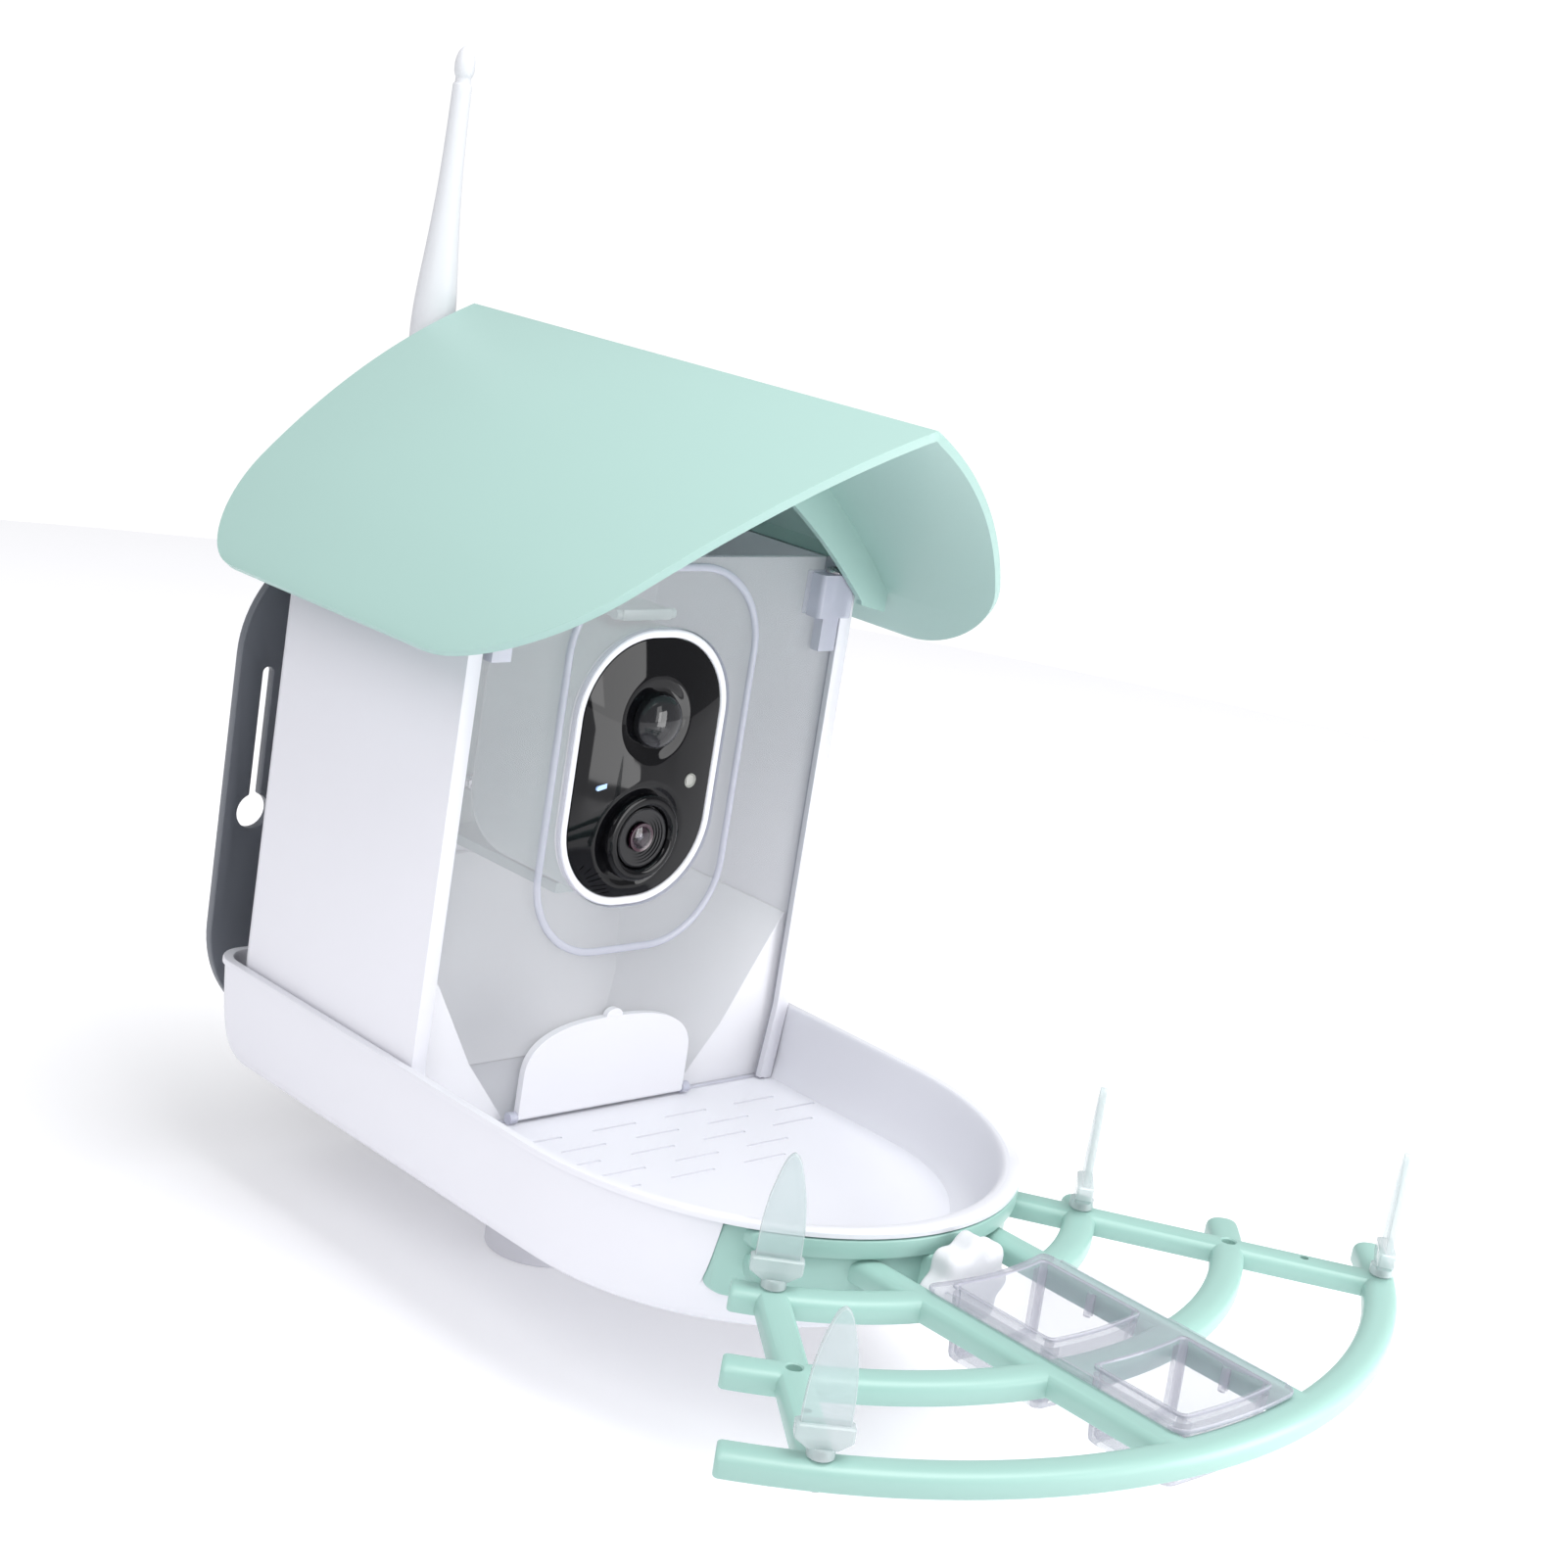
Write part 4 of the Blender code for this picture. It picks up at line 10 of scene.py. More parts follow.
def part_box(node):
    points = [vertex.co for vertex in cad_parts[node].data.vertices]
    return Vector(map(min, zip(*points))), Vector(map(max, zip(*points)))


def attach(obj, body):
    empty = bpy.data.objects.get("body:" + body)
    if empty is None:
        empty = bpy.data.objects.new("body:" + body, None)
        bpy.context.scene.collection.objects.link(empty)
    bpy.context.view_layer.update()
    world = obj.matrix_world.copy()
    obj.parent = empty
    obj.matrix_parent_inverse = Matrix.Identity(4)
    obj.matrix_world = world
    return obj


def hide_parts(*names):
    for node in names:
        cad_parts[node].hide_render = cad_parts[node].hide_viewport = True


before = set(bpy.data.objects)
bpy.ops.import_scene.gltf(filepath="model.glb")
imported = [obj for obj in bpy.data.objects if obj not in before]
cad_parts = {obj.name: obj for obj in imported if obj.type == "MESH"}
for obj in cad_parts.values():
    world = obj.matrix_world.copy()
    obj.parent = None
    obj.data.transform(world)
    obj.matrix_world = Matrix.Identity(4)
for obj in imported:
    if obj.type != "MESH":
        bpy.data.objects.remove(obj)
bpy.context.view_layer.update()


# Studio and camera. The feeder stands on a round pale floor in a pale room, lit by large softboxes from the left,
# the front and above, and by a low card in front. The camera looks down a little from the front left and leans
# over to its side.
CAMERA_PLACE = Vector((-0.5647, -0.6337, 0.3867))
CAMERA_AIM = Vector((0.02135, -0.05818, 0.17877))
CAMERA_LEAN = math.radians(9.34)
FOCAL_PIXELS = 2762.3
PICTURE_PIXELS = 1601
FILM_MM = 36.0
ROOM_STRENGTH = 0.50
ROOM_SEEN_STRENGTH = 1.05
FLOOR_RADIUS = 1.2
FLOOR_THICK = 0.02
FLOOR_GLOW = 0.16

away = (CAMERA_PLACE - CAMERA_AIM).normalized()
level = Vector((0, 0, 1)).cross(away).normalized()
upright = away.cross(level)
lean_right = level * math.cos(CAMERA_LEAN) + upright * math.sin(CAMERA_LEAN)
lean_up = upright * math.cos(CAMERA_LEAN) - level * math.sin(CAMERA_LEAN)
camera = bpy.data.objects.new("studio_camera", bpy.data.cameras.new("studio_camera"))
bpy.context.scene.collection.objects.link(camera)
camera.matrix_world = Matrix.Translation(CAMERA_PLACE) @ Matrix((lean_right, lean_up, away)).transposed().to_4x4()
camera.data.sensor_width = FILM_MM
camera.data.lens = FOCAL_PIXELS / PICTURE_PIXELS * FILM_MM
camera.data.clip_start = 0.01
camera.data.clip_end = 60
bpy.context.scene.camera = camera
bpy.context.scene.view_settings.view_transform = "Standard"

room = bpy.data.worlds.new("pale_room")
room.use_nodes = True
room_light = room.node_tree.nodes["Background"]
room_light.inputs["Color"].default_value = (0.98, 0.98, 1.0, 1)
room_light.inputs["Strength"].default_value = ROOM_STRENGTH
room_wall = room.node_tree.nodes.new("ShaderNodeBackground")
room_wall.inputs["Color"].default_value = (1, 1, 1, 1)
room_wall.inputs["Strength"].default_value = ROOM_SEEN_STRENGTH
seen = room.node_tree.nodes.new("ShaderNodeLightPath")
either = room.node_tree.nodes.new("ShaderNodeMixShader")
room.node_tree.links.new(seen.outputs["Is Camera Ray"], either.inputs[0])
room.node_tree.links.new(room_light.outputs[0], either.inputs[1])
room.node_tree.links.new(room_wall.outputs[0], either.inputs[2])
room.node_tree.links.new(either.outputs[0], room.node_tree.nodes["World Output"].inputs["Surface"])
bpy.context.scene.world = room


def softbox(name, place, aim, width, height, watts):
    lamp = bpy.data.lights.new(name, "AREA")
    lamp.shape = "RECTANGLE"
    lamp.size, lamp.size_y, lamp.energy = width, height, watts
    box = bpy.data.objects.new(name, lamp)
    box.location = place
    box.rotation_euler = (Vector(aim) - Vector(place)).to_track_quat("-Z", "Y").to_euler()
    bpy.context.scene.collection.objects.link(box)


softbox("softbox_left", (-1.6, -0.6, 1.5), (0, -0.05, 0.15), 1.2, 1.2, 17)
softbox("softbox_front", (0.55, -1.9, 0.55), (0, -0.05, 0.18), 0.5, 1.3, 6)
softbox("softbox_above", (0.1, -0.8, 1.95), (0, -0.05, 0.1), 1.5, 1.5, 36)
softbox("low_card", (0.27, -0.55, 0.16), (0, -0.02, 0.17), 0.22, 0.30, 1.3)


def evenly(whole, steps):
    """Evenly spaced values from nothing to a whole, with both ends."""
    return [whole * k / steps for k in range(steps + 1)]


def arc(x, y, reach_x, reach_y, start, end, steps):
    """Points along an arc, round or oval, from one angle to another."""
    return [(x + reach_x * math.cos(start + turn), y + reach_y * math.sin(start + turn))
            for turn in evenly(end - start, steps)]


def as_mesh(name, builder):
    """Closes a mesh under construction and puts it in the scene."""
    bmesh.ops.recalc_face_normals(builder, faces=builder.faces)
    mesh = bpy.data.meshes.new(name)
    builder.to_mesh(mesh)
    builder.free()
    made = bpy.data.objects.new(name, mesh)
    bpy.context.scene.collection.objects.link(made)
    return made


def skinned(name, rings, closed=False):
    """Skins a row of rings, with its two ends capped, or joined to each other when closed."""
    builder = bmesh.new()
    rows = [[builder.verts.new(point) for point in ring] for ring in rings]
    pairs = list(zip(rows, rows[1:])) + ([(rows[-1], rows[0])] if closed else [])
    for first, second in pairs:
        for k in range(len(first)):
            after = (k + 1) % len(first)
            builder.faces.new((first[k], first[after], second[after], second[k]))
    if not closed:
        builder.faces.new(rows[0])
        builder.faces.new(rows[-1])
    return as_mesh(name, builder)


def at_height(outline, z):
    return [(x, y, z) for x, y in outline]


def at_depth(outline, y):
    return [(x, y, z) for x, z in outline]


def at_side(outline, x):
    return [(x, y, z) for y, z in outline]


def extruded(name, outline, low, high, place=at_height):
    return skinned(name, [place(outline, low), place(outline, high)])


def block(name, low, high):
    corners = [(low[0], low[1]), (high[0], low[1]), (high[0], high[1]), (low[0], high[1])]
    return extruded(name, corners, low[2], high[2])


TURN_TO = {"Z": Matrix(), "Y": Matrix.Rotation(-math.pi / 2, 4, "X"), "X": Matrix.Rotation(math.pi / 2, 4, "Y")}


def spun(name, profile, centre, along="Z", sides=64, hollow=False):
    """Turns a profile of (radius, distance) round an axis; a radius of zero closes it on the axis."""
    builder = bmesh.new()
    points = [builder.verts.new((radius, 0, reach)) for radius, reach in profile]
    edges = [builder.edges.new(pair) for pair in zip(points, points[1:])]
    if hollow:
        edges.append(builder.edges.new((points[-1], points[0])))
    bmesh.ops.spin(builder, geom=points + edges, cent=(0, 0, 0), axis=(0, 0, 1), angle=math.tau, steps=sides)
    bmesh.ops.remove_doubles(builder, verts=builder.verts, dist=0.000001)
    bmesh.ops.transform(builder, matrix=Matrix.Translation(centre) @ TURN_TO[along], verts=builder.verts)
    return as_mesh(name, builder)


def rod(name, radius, low, high, centre, along="Z", sides=32):
    return spun(name, [(0, low), (radius, low), (radius, high), (0, high)], centre, along, sides)


def settled(piece):
    """Applies a piece's modifiers."""
    depsgraph = bpy.context.evaluated_depsgraph_get()
    mesh = bpy.data.meshes.new_from_object(piece.evaluated_get(depsgraph))
    piece.modifiers.clear()
    piece.data = mesh
    return piece


def combined(piece, tools, operation):
    for tool in tools:
        modifier = piece.modifiers.new("join", "BOOLEAN")
        modifier.operation, modifier.solver, modifier.object = operation, "EXACT", tool
    settled(piece)
    for tool in tools:
        bpy.data.objects.remove(tool, do_unlink=True)


def welded(piece, *tools):
    combined(piece, tools, "UNION")


def carved(piece, *tools):
    combined(piece, tools, "DIFFERENCE")


def eased(piece, width, segments=2, over=35):
    """Rounds the edges that turn more than an angle, as a mould leaves them."""
    bevel = piece.modifiers.new("ease", "BEVEL")
    bevel.width, bevel.segments = width, segments
    bevel.limit_method, bevel.angle_limit = "ANGLE", math.radians(over)
    bevel.use_clamp_overlap = True
    return settled(piece)


def moulding_of(node, name, width, segments=2):
    """A finer copy of a node with its edges eased."""
    builder = bmesh.new()
    builder.from_mesh(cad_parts[node].data)
    bmesh.ops.remove_doubles(builder, verts=builder.verts, dist=0.000002)
    bmesh.ops.dissolve_limit(builder, angle_limit=math.radians(0.5), verts=builder.verts, edges=builder.edges)
    return eased(as_mesh(name, builder), width, segments)


def fitted(piece, finish, slot, body, *nodes, smooth=40):
    """Gives a piece its finish, lets it ride on its body and stand for its nodes."""
    piece.data.materials.clear()
    piece.data.materials.append(finish)
    piece.data.shade_smooth()
    piece.data.set_sharp_from_angle(angle=math.radians(smooth))
    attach(piece, body)
    if nodes:
        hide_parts(*nodes)


def grained(name, scale, detail, roughness, drift, relief):
    """A material with a fine noise in it: its roughness drifts with the noise by a share, and its bump follows it."""
    finish = bpy.data.materials.new(name)
    finish.use_nodes = True
    nodes, links = finish.node_tree.nodes, finish.node_tree.links
    shader = nodes["Principled BSDF"]
    place = nodes.new("ShaderNodeTexCoord")
    speckle = nodes.new("ShaderNodeTexNoise")
    speckle.inputs["Scale"].default_value = scale
    speckle.inputs["Detail"].default_value = detail
    spread = nodes.new("ShaderNodeMapRange")
    spread.inputs["To Min"].default_value = roughness * drift[0]
    spread.inputs["To Max"].default_value = roughness * drift[1]
    bump = nodes.new("ShaderNodeBump")
    bump.inputs["Strength"].default_value = relief
    bump.inputs["Distance"].default_value = 0.0001
    links.new(place.outputs["Object"], speckle.inputs["Vector"])
    links.new(speckle.outputs["Fac"], spread.inputs["Value"])
    links.new(spread.outputs["Result"], shader.inputs["Roughness"])
    links.new(speckle.outputs["Fac"], bump.inputs["Height"])
    links.new(bump.outputs["Normal"], shader.inputs["Normal"])
    return finish, shader, place


def plastic(name, colour, shade, roughness, grain=0.0004, relief=0.03, gloss=0.5):
    """Moulded plastic: a fine tool grain, a roughness that drifts, and a faint drift between two tones."""
    finish, shader, place = grained(name, 1.0 / grain, 2.0, roughness, (0.86, 1.14), relief)
    nodes, links = finish.node_tree.nodes, finish.node_tree.links
    cloud = nodes.new("ShaderNodeTexNoise")
    cloud.inputs["Scale"].default_value = 14.0
    cloud.inputs["Detail"].default_value = 3.0
    tone = nodes.new("ShaderNodeMix")
    tone.data_type = "RGBA"
    tone.inputs[6].default_value = (*colour, 1)
    tone.inputs[7].default_value = (*shade, 1)
    links.new(place.outputs["Object"], cloud.inputs["Vector"])
    links.new(cloud.outputs["Fac"], tone.inputs[0])
    links.new(tone.outputs[2], shader.inputs["Base Color"])
    shader.inputs["Specular IOR Level"].default_value = gloss
    finish.diffuse_color = (*colour, 1)
    return finish


def glowing(finish, colour, strength):
    """Adds an even glow to a finish."""
    shader = finish.node_tree.nodes["Principled BSDF"]
    shader.inputs["Emission Color"].default_value = (*colour, 1)
    shader.inputs["Emission Strength"].default_value = strength


floor_paint = plastic("floor_paint", (0.90, 0.90, 0.92), (0.885, 0.885, 0.905), 0.75, 0.002, 0.02, 0.2)
glowing(floor_paint, (1, 1, 1), FLOOR_GLOW)
floor = extruded("studio_floor", arc(0, 0, FLOOR_RADIUS, FLOOR_RADIUS, 0, math.tau, 96)[:-1], -FLOOR_THICK, 0)
floor.data.materials.append(floor_paint)


# Seed tray. One white moulding, D-shaped in plan: a dished bowl with a thin rolled rim, a skirt that sweeps in
# below, a pad for the pole socket, rows of drain grooves, and a recess round its nose for the perch band.
TRAY_HALF = 0.0834
TRAY_BACK = 0.0900
TRAY_CORNER = 0.0110
NOSE_START = -0.0800
NOSE_LENGTH = 0.0960
NOSE_TIP = NOSE_START - NOSE_LENGTH
RIM_Z = 0.0834
LIP_Z = 0.0814
FOOT_Z = 0.0440
FLOOR_Z = 0.0570
FLOOR_UNDER = 0.0545
TRAY_WALL = ((0.0440, 0.0134, 0.0220, 0.0100), (0.04684, 0.00844, 0.01606, 0.0063), (0.0535, 0.00442, 0.0099, 0.0033),
             (0.06487, 0.00214, 0.00506, 0.0016), (0.0814, 0.0007, 0.0014, 0.0007))
BOWL_WALL = ((0.0834, 0.0028, 0.0040, 0.0028), (0.0805, 0.0034, 0.00856, 0.00304), (0.0640, 0.00421, 0.0160, 0.00336),
             (0.0570, 0.0058, 0.0280, 0.0040))
GROOVE_LONG, GROOVE_WIDE, GROOVE_DEEP = 0.0185, 0.0013, 0.0006
GROOVE_ROW, GROOVE_COLUMN, GROOVE_START = 0.0098, 0.0310, -0.0335
PAD_RADIUS = 0.0305
SEAT_GAP = 0.0003
SCREW_HOLE = 0.0018
FLANGE_HOLES = arc(0, 0, 0.0240, 0.0240, math.pi / 4, math.pi * 7 / 4, 3)
BASE_HOLES = [(x, y) for x in (-0.0705, 0.0705) for y in (-0.0050, 0.0617)]
BAND_BACK = 0.0042
BAND_HALF = 0.0608
BAND_TOP = 0.0811
BAND_FOOT = 0.0590
KNOB_Z = 0.0677

white_plastic = plastic("white_moulding", (0.715, 0.715, 0.765), (0.70, 0.70, 0.75), 0.36)


def nose_point(side, nose, angle):
    """A point of the tray's round nose, drawn in by its own amount at the sides and the tip."""
    return (TRAY_HALF - side) * math.sin(angle), NOSE_START - (NOSE_LENGTH - nose) * math.cos(angle)


def tray_ring(z, side, nose, back, steps=72, corner_steps=8):
    """The tray's D at one height, drawn in by its own amount at the sides, the nose and the back."""
    half = TRAY_HALF - side
    corner = TRAY_CORNER - side / 2
    points = [nose_point(side, nose, math.pi * (k / steps - 0.5)) for k in range(steps + 1)]
    for quarter, way in ((0, 1), (1, -1)):
        points += arc(way * (half - corner), TRAY_BACK - back - corner, corner, corner, math.pi / 2 * quarter,
                      math.pi / 2 * (quarter + 1), corner_steps)
    return at_height(points, z)


def flowing(rows, steps):
    """Fills in between rows of numbers with a smooth curve through them."""
    rows = [rows[0]] + list(rows) + [rows[-1]]
    out = []
    for a, b, c, d in zip(rows, rows[1:], rows[2:], rows[3:]):
        for k in range(steps):
            t = k / steps
            out.append(tuple(0.5 * (2 * q + (r - p) * t + (2 * p - 5 * q + 4 * r - s) * t * t
                                    + (3 * q - p - 3 * r + s) * t ** 3) for p, q, r, s in zip(a, b, c, d)))
    return out + [tuple(rows[-1])]


def band_strip(outer, inner, half, steps=48):
    """A strip round the nose between two insets."""
    points = []
    for inset, way in ((outer, 1), (inner, -1)):
        reach = math.asin(half / (TRAY_HALF - inset))
        points += [nose_point(inset, inset, way * reach * (2 * k / steps - 1)) for k in range(steps + 1)]
    return points


def round_cornered(half_width, half_height, corner, steps=12, x=0, y=0):
    points = []
    for quarter, (side, end) in enumerate(((1, 1), (-1, 1), (-1, -1), (1, -1))):
        points += arc(x + side * (half_width - corner), y + end * (half_height - corner), corner, corner,
                      math.pi / 2 * quarter, math.pi / 2 * (quarter + 1), steps)
    return points


rings = [tray_ring(FLOOR_UNDER, 0.0069, 0.0280, 0.0058), tray_ring(FOOT_Z + 0.0001, 0.0157, 0.0243, 0.0123)]
rings += [tray_ring(*row) for row in flowing(TRAY_WALL, 5)]
rings += [tray_ring(LIP_Z, 0, 0, 0), tray_ring(RIM_Z - 0.0006, 0, 0, 0),
          tray_ring(RIM_Z - 0.00015, 0.0002, 0.0003, 0.0002), tray_ring(RIM_Z, 0.0007, 0.0009, 0.0007)]
rings += [tray_ring(*row) for row in flowing(BOWL_WALL, 6)]
tray = skinned("tray_moulding", rings)
welded(tray, rod("pad", PAD_RADIUS, 0.0500, FLOOR_UNDER + 0.0005, (0, 0, 0), sides=64))
recess = band_strip(-0.0030, BAND_BACK + SEAT_GAP, BAND_HALF + SEAT_GAP)
cutters = [extruded("recess", recess, BAND_FOOT - SEAT_GAP, LIP_Z),
           rod("insert_bore", 0.0039, -0.0030, 0.0051, (0, NOSE_TIP + BAND_BACK + SEAT_GAP, KNOB_Z), "Y")]
cutters += [rod("hole", SCREW_HOLE, 0.0470, 0.0558, (x, y, 0), sides=16) for x, y in FLANGE_HOLES]
cutters += [rod("hole", SCREW_HOLE, 0.0515, 0.0600, (x, y, 0), sides=16) for x, y in BASE_HOLES]
for row in range(5):
    columns = 5 if row < 3 else 3
    for column in range(columns):
        x = (column - (columns - 1) / 2) * GROOVE_COLUMN + (row % 2 - 0.5) * GROOVE_COLUMN / 3
        y = GROOVE_START - row * GROOVE_ROW
        dash = round_cornered(GROOVE_LONG / 2, GROOVE_WIDE / 2, GROOVE_WIDE / 2, 4, x, y)
        cutters.append(extruded("groove", dash, FLOOR_Z - GROOVE_DEEP, FLOOR_Z + 0.0030))
carved(tray, *cutters)
fitted(tray, white_plastic, "white_plastic", "body", "tray_base", smooth=30)


# Pole socket. A white moulded tube with a broad flange, screwed up under the tray's pad. A 30 mm garden pole
# slides up its bore.
socket = spun("socket_moulding", [(0, 0.0467), (0.0144, 0.0467), (0.0150, 0.0461), (0.0150, 0.0007), (0.0157, 0),
                                  (0.0181, 0), (0.0186, 0.0002), (0.0188, 0.0007), (0.0188, 0.0448),
                                  (0.0190, 0.0457), (0.0195, 0.0465), (0.0203, 0.0469), (0.0286, 0.0469),
                                  (0.0289, 0.0471), (0.0290, 0.0474), (0.0290, 0.0497), (0, 0.0497)], (0, 0, 0),
              sides=96)
carved(socket, *[rod("hole", SCREW_HOLE, 0.0439, 0.0527, (x, y, 0), sides=16) for x, y in FLANGE_HOLES])
fitted(socket, white_plastic, "white_plastic", "body", "pole_socket")


# Screws. Plated pan-head screws with a cross recess and a cut thread: under the tray, in the socket's flange,
# in the panel's corner blocks and inside the house.
def metal(name, colour, roughness, scratch=900.0):
    """Plated or turned metal: fine marks round it, and a roughness that drifts."""
    finish, shader, place = grained(name, scratch, 4.0, roughness, (0.7, 1.4), 0.08)
    shader.inputs["Base Color"].default_value = (*colour, 1)
    shader.inputs["Metallic"].default_value = 1.0
    return finish


SCREW_HEAD = 0.0017
SCREW_PITCH = 0.0006
SCREW_CREST, SCREW_ROOT = 0.0015, 0.00118
CROSS_ARM, CROSS_HALF = 0.00165, 0.00032
CROSS_TURN = math.radians(25)
zinc_plate = metal("zinc_plate", (0.56, 0.56, 0.58), 0.26)


def drive_screw(node, along, way, body):
    """A screw in a node's place; way is which way its shank points along the axis."""
    low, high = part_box(node)
    axis = "XYZ".index(along)
    length = high[axis] - low[axis] - SCREW_HEAD
    profile = [(0, -SCREW_HEAD), (0.0013, -SCREW_HEAD), (0.0022, -0.00145), (0.0027, -0.0009), (0.0029, -0.0004),
               (0.0029, -0.0001), (0.0028, 0), (0.0013, 0)]
    for k in range(int(length / SCREW_PITCH) - 1):
        profile += [(SCREW_ROOT, SCREW_PITCH * k + SCREW_PITCH / 2), (SCREW_CREST, SCREW_PITCH * (k + 1))]
    profile += [(0.0009, length - 0.0003), (0, length)]
    piece = spun(node + "_pan_head", profile, (0, 0, 0), sides=28)
    carved(piece, *[block("arm", (-x, -y, -0.0020), (x, y, -0.0008))
                    for x, y in ((CROSS_ARM, CROSS_HALF), (CROSS_HALF, CROSS_ARM))])
    turn = TURN_TO[along] if way > 0 else TURN_TO[along] @ Matrix.Rotation(math.pi, 4, "X")
    place = (low + high) / 2
    place[axis] = low[axis] + SCREW_HEAD if way > 0 else high[axis] - SCREW_HEAD
    piece.data.transform(Matrix.Translation(place) @ turn @ Matrix.Rotation(CROSS_TURN, 4, "Z"))
    fitted(piece, zinc_plate, "steel", body, node, smooth=30)


for number in range(1, 5):
    drive_screw(f"socket_screw_{number}", "Z", 1, "body")
    drive_screw(f"base_screw_{number}", "Z", 1, "body")
    drive_screw(f"plate_screw_{number}", "Y", 1, "body")
for number in (1, 2):
    drive_screw(f"bracket_screw_{number}", "Y", 1, "body")


# House. Two side walls and a back wall with its gable in one white moulding, drawn in at the foot where it sits
# in the tray. A narrow lip down each front edge holds the clear panel, and four bosses take the base screws.
HOUSE_FRONT = -0.0200
HOUSE_BACK = 0.0767
HOUSE_TOP = 0.2395
HOUSE_FOOT = 0.0573
HOUSE_KNEE = 0.0840
house = moulding_of("house_shell", "house_moulding", 0.0004)
fitted(house, white_plastic, "white_plastic", "body", "house_shell")


def room_half(z):
    """Half the house's inner width at a height."""
    if z < HOUSE_KNEE:
        return 0.0770 - 0.0028 * (HOUSE_KNEE - z) / (HOUSE_KNEE - HOUSE_FOOT)
    return 0.0770 - 0.0010 * (z - HOUSE_KNEE) / (HOUSE_TOP - HOUSE_KNEE)


# Seed funnel. A thin white sheet moulding inside the house: two side ramps and a rear ramp that bring the seed
# down to the outlet, closed by webs behind the clear panel.
funnel = moulding_of("seed_funnel", "funnel_moulding", 0.00025)
# Painted light: the funnel's white is brighter than the house's white moulding, standing in for the light that
# reaches it through the clear panel.
funnel_white_painted_light = plastic("funnel_white_painted_light", (0.90, 0.90, 0.925), (0.885, 0.885, 0.91), 0.40)
fitted(funnel, funnel_white_painted_light, "white_plastic", "body", "seed_funnel")


# Front panel. One clear, slightly hazy moulding with an opening for the camera, a raised oval bead round it, a
# screw block at each top corner, an arched seed outlet at the foot and two lugs that carry the gate's pins.
PANEL_FRONT = -0.0175
PANEL_BACK = -0.0153
CAMERA_Z = 0.17275
BLOCK_X = 0.06787
BLOCK_Y = -0.0197
BLOCK_LOW, BLOCK_HIGH = 0.2225, 0.2370
BEAD_HALF_WIDE, BEAD_HALF_TALL, BEAD_CORNER = 0.0400, 0.0645, 0.0290
BEAD_WIDE, BEAD_PROUD = 0.0026, 0.0012
BEAD_Z = CAMERA_Z + 0.0028
OUTLET_HALF, OUTLET_FOOT, OUTLET_SPRING, OUTLET_RISE = 0.0265, 0.0621, 0.0726, 0.0105
GATE_Y = -0.01915
GATE_Z = 0.05935


def clear(name, tint, roughness, cover=1.0, through=1.0, grain=0.0015, relief=0.02, bend=1.46):
    """Clear moulded plastic: cover is how much of the light it stops on the way, through how far it is clear."""
    finish, shader, place = grained(name, 1.0 / grain, 2.0, roughness, (0.8, 1.2), relief)
    shader.inputs["Base Color"].default_value = (*tint, 1)
    shader.inputs["Transmission Weight"].default_value = through
    shader.inputs["Alpha"].default_value = cover
    shader.inputs["IOR"].default_value = bend
    finish.diffuse_color = (*tint, 0.4)
    return finish


def edged(piece, finish, is_edge):
    """Gives the faces that a test picks a second finish."""
    piece.data.materials.append(finish)
    for face in piece.data.polygons:
        face.material_index = 1 if is_edge(face) else 0


def bead_ring(inset, y):
    outline = round_cornered(BEAD_HALF_WIDE - inset, BEAD_HALF_TALL - inset, BEAD_CORNER - inset, 20, 0, BEAD_Z)
    return at_depth(outline, y)


hazy_sheet = clear("hazy_sheet", (0.86, 0.86, 0.90), 0.24, cover=0.20, through=0.0)
lilac_edge = clear("lilac_edge", (0.62, 0.63, 0.74), 0.10, cover=0.55, through=0.0)
right_edge = [(room_half(HOUSE_FOOT) - 0.0003, HOUSE_FOOT), (room_half(HOUSE_KNEE) - 0.0003, HOUSE_KNEE)]
right_edge += arc(0.0717, 0.2380, 0.0040, 0.0040, 0, math.pi / 2, 10)
panel = extruded("panel_moulding", right_edge + [(-x, z) for x, z in reversed(right_edge)], PANEL_FRONT, PANEL_BACK,
                 at_depth)
rings = [bead_ring(BEAD_WIDE / 2 * (1 - math.cos(a)), PANEL_FRONT - BEAD_PROUD * math.sin(a) ** 0.7)
         for a in evenly(math.pi, 10)]
rings += [bead_ring(BEAD_WIDE, PANEL_FRONT + 0.0005), bead_ring(0, PANEL_FRONT + 0.0005)]
parts = [skinned("bead", rings, closed=True)]
for side in (-1, 1):
    plan = round_cornered(0.00785, 0.0044, 0.0015, 6, side * BLOCK_X, -0.0188)
    parts.append(extruded("block", plan, BLOCK_LOW, BLOCK_HIGH))
    parts.append(block("post", (side * BLOCK_X - 0.0036, -0.0215, 0.2110),
                       (side * BLOCK_X + 0.0036, -0.0170, BLOCK_LOW + 0.0005)))
    low = side * 0.0368 - 0.0015
    parts.append(rod("lug", 0.0019, low, low + 0.0030, (0, GATE_Y, GATE_Z), "X"))
    parts.append(block("lug_root", (low, GATE_Y, GATE_Z - 0.0014), (low + 0.0030, -0.0170, GATE_Z + 0.0014)))
welded(panel, *parts)
arch = arc(0, OUTLET_SPRING, OUTLET_HALF, OUTLET_RISE, 0, math.pi, 32)
arch += [(-OUTLET_HALF, OUTLET_FOOT), (OUTLET_HALF, OUTLET_FOOT)]
cutters = [extruded(name, outline, PANEL_FRONT - 0.0030, PANEL_BACK + 0.0030, at_depth) for name, outline in (
    ("camera_hole", round_cornered(0.0318, 0.04615, 0.0289, 20, 0, CAMERA_Z)), ("outlet", arch))]
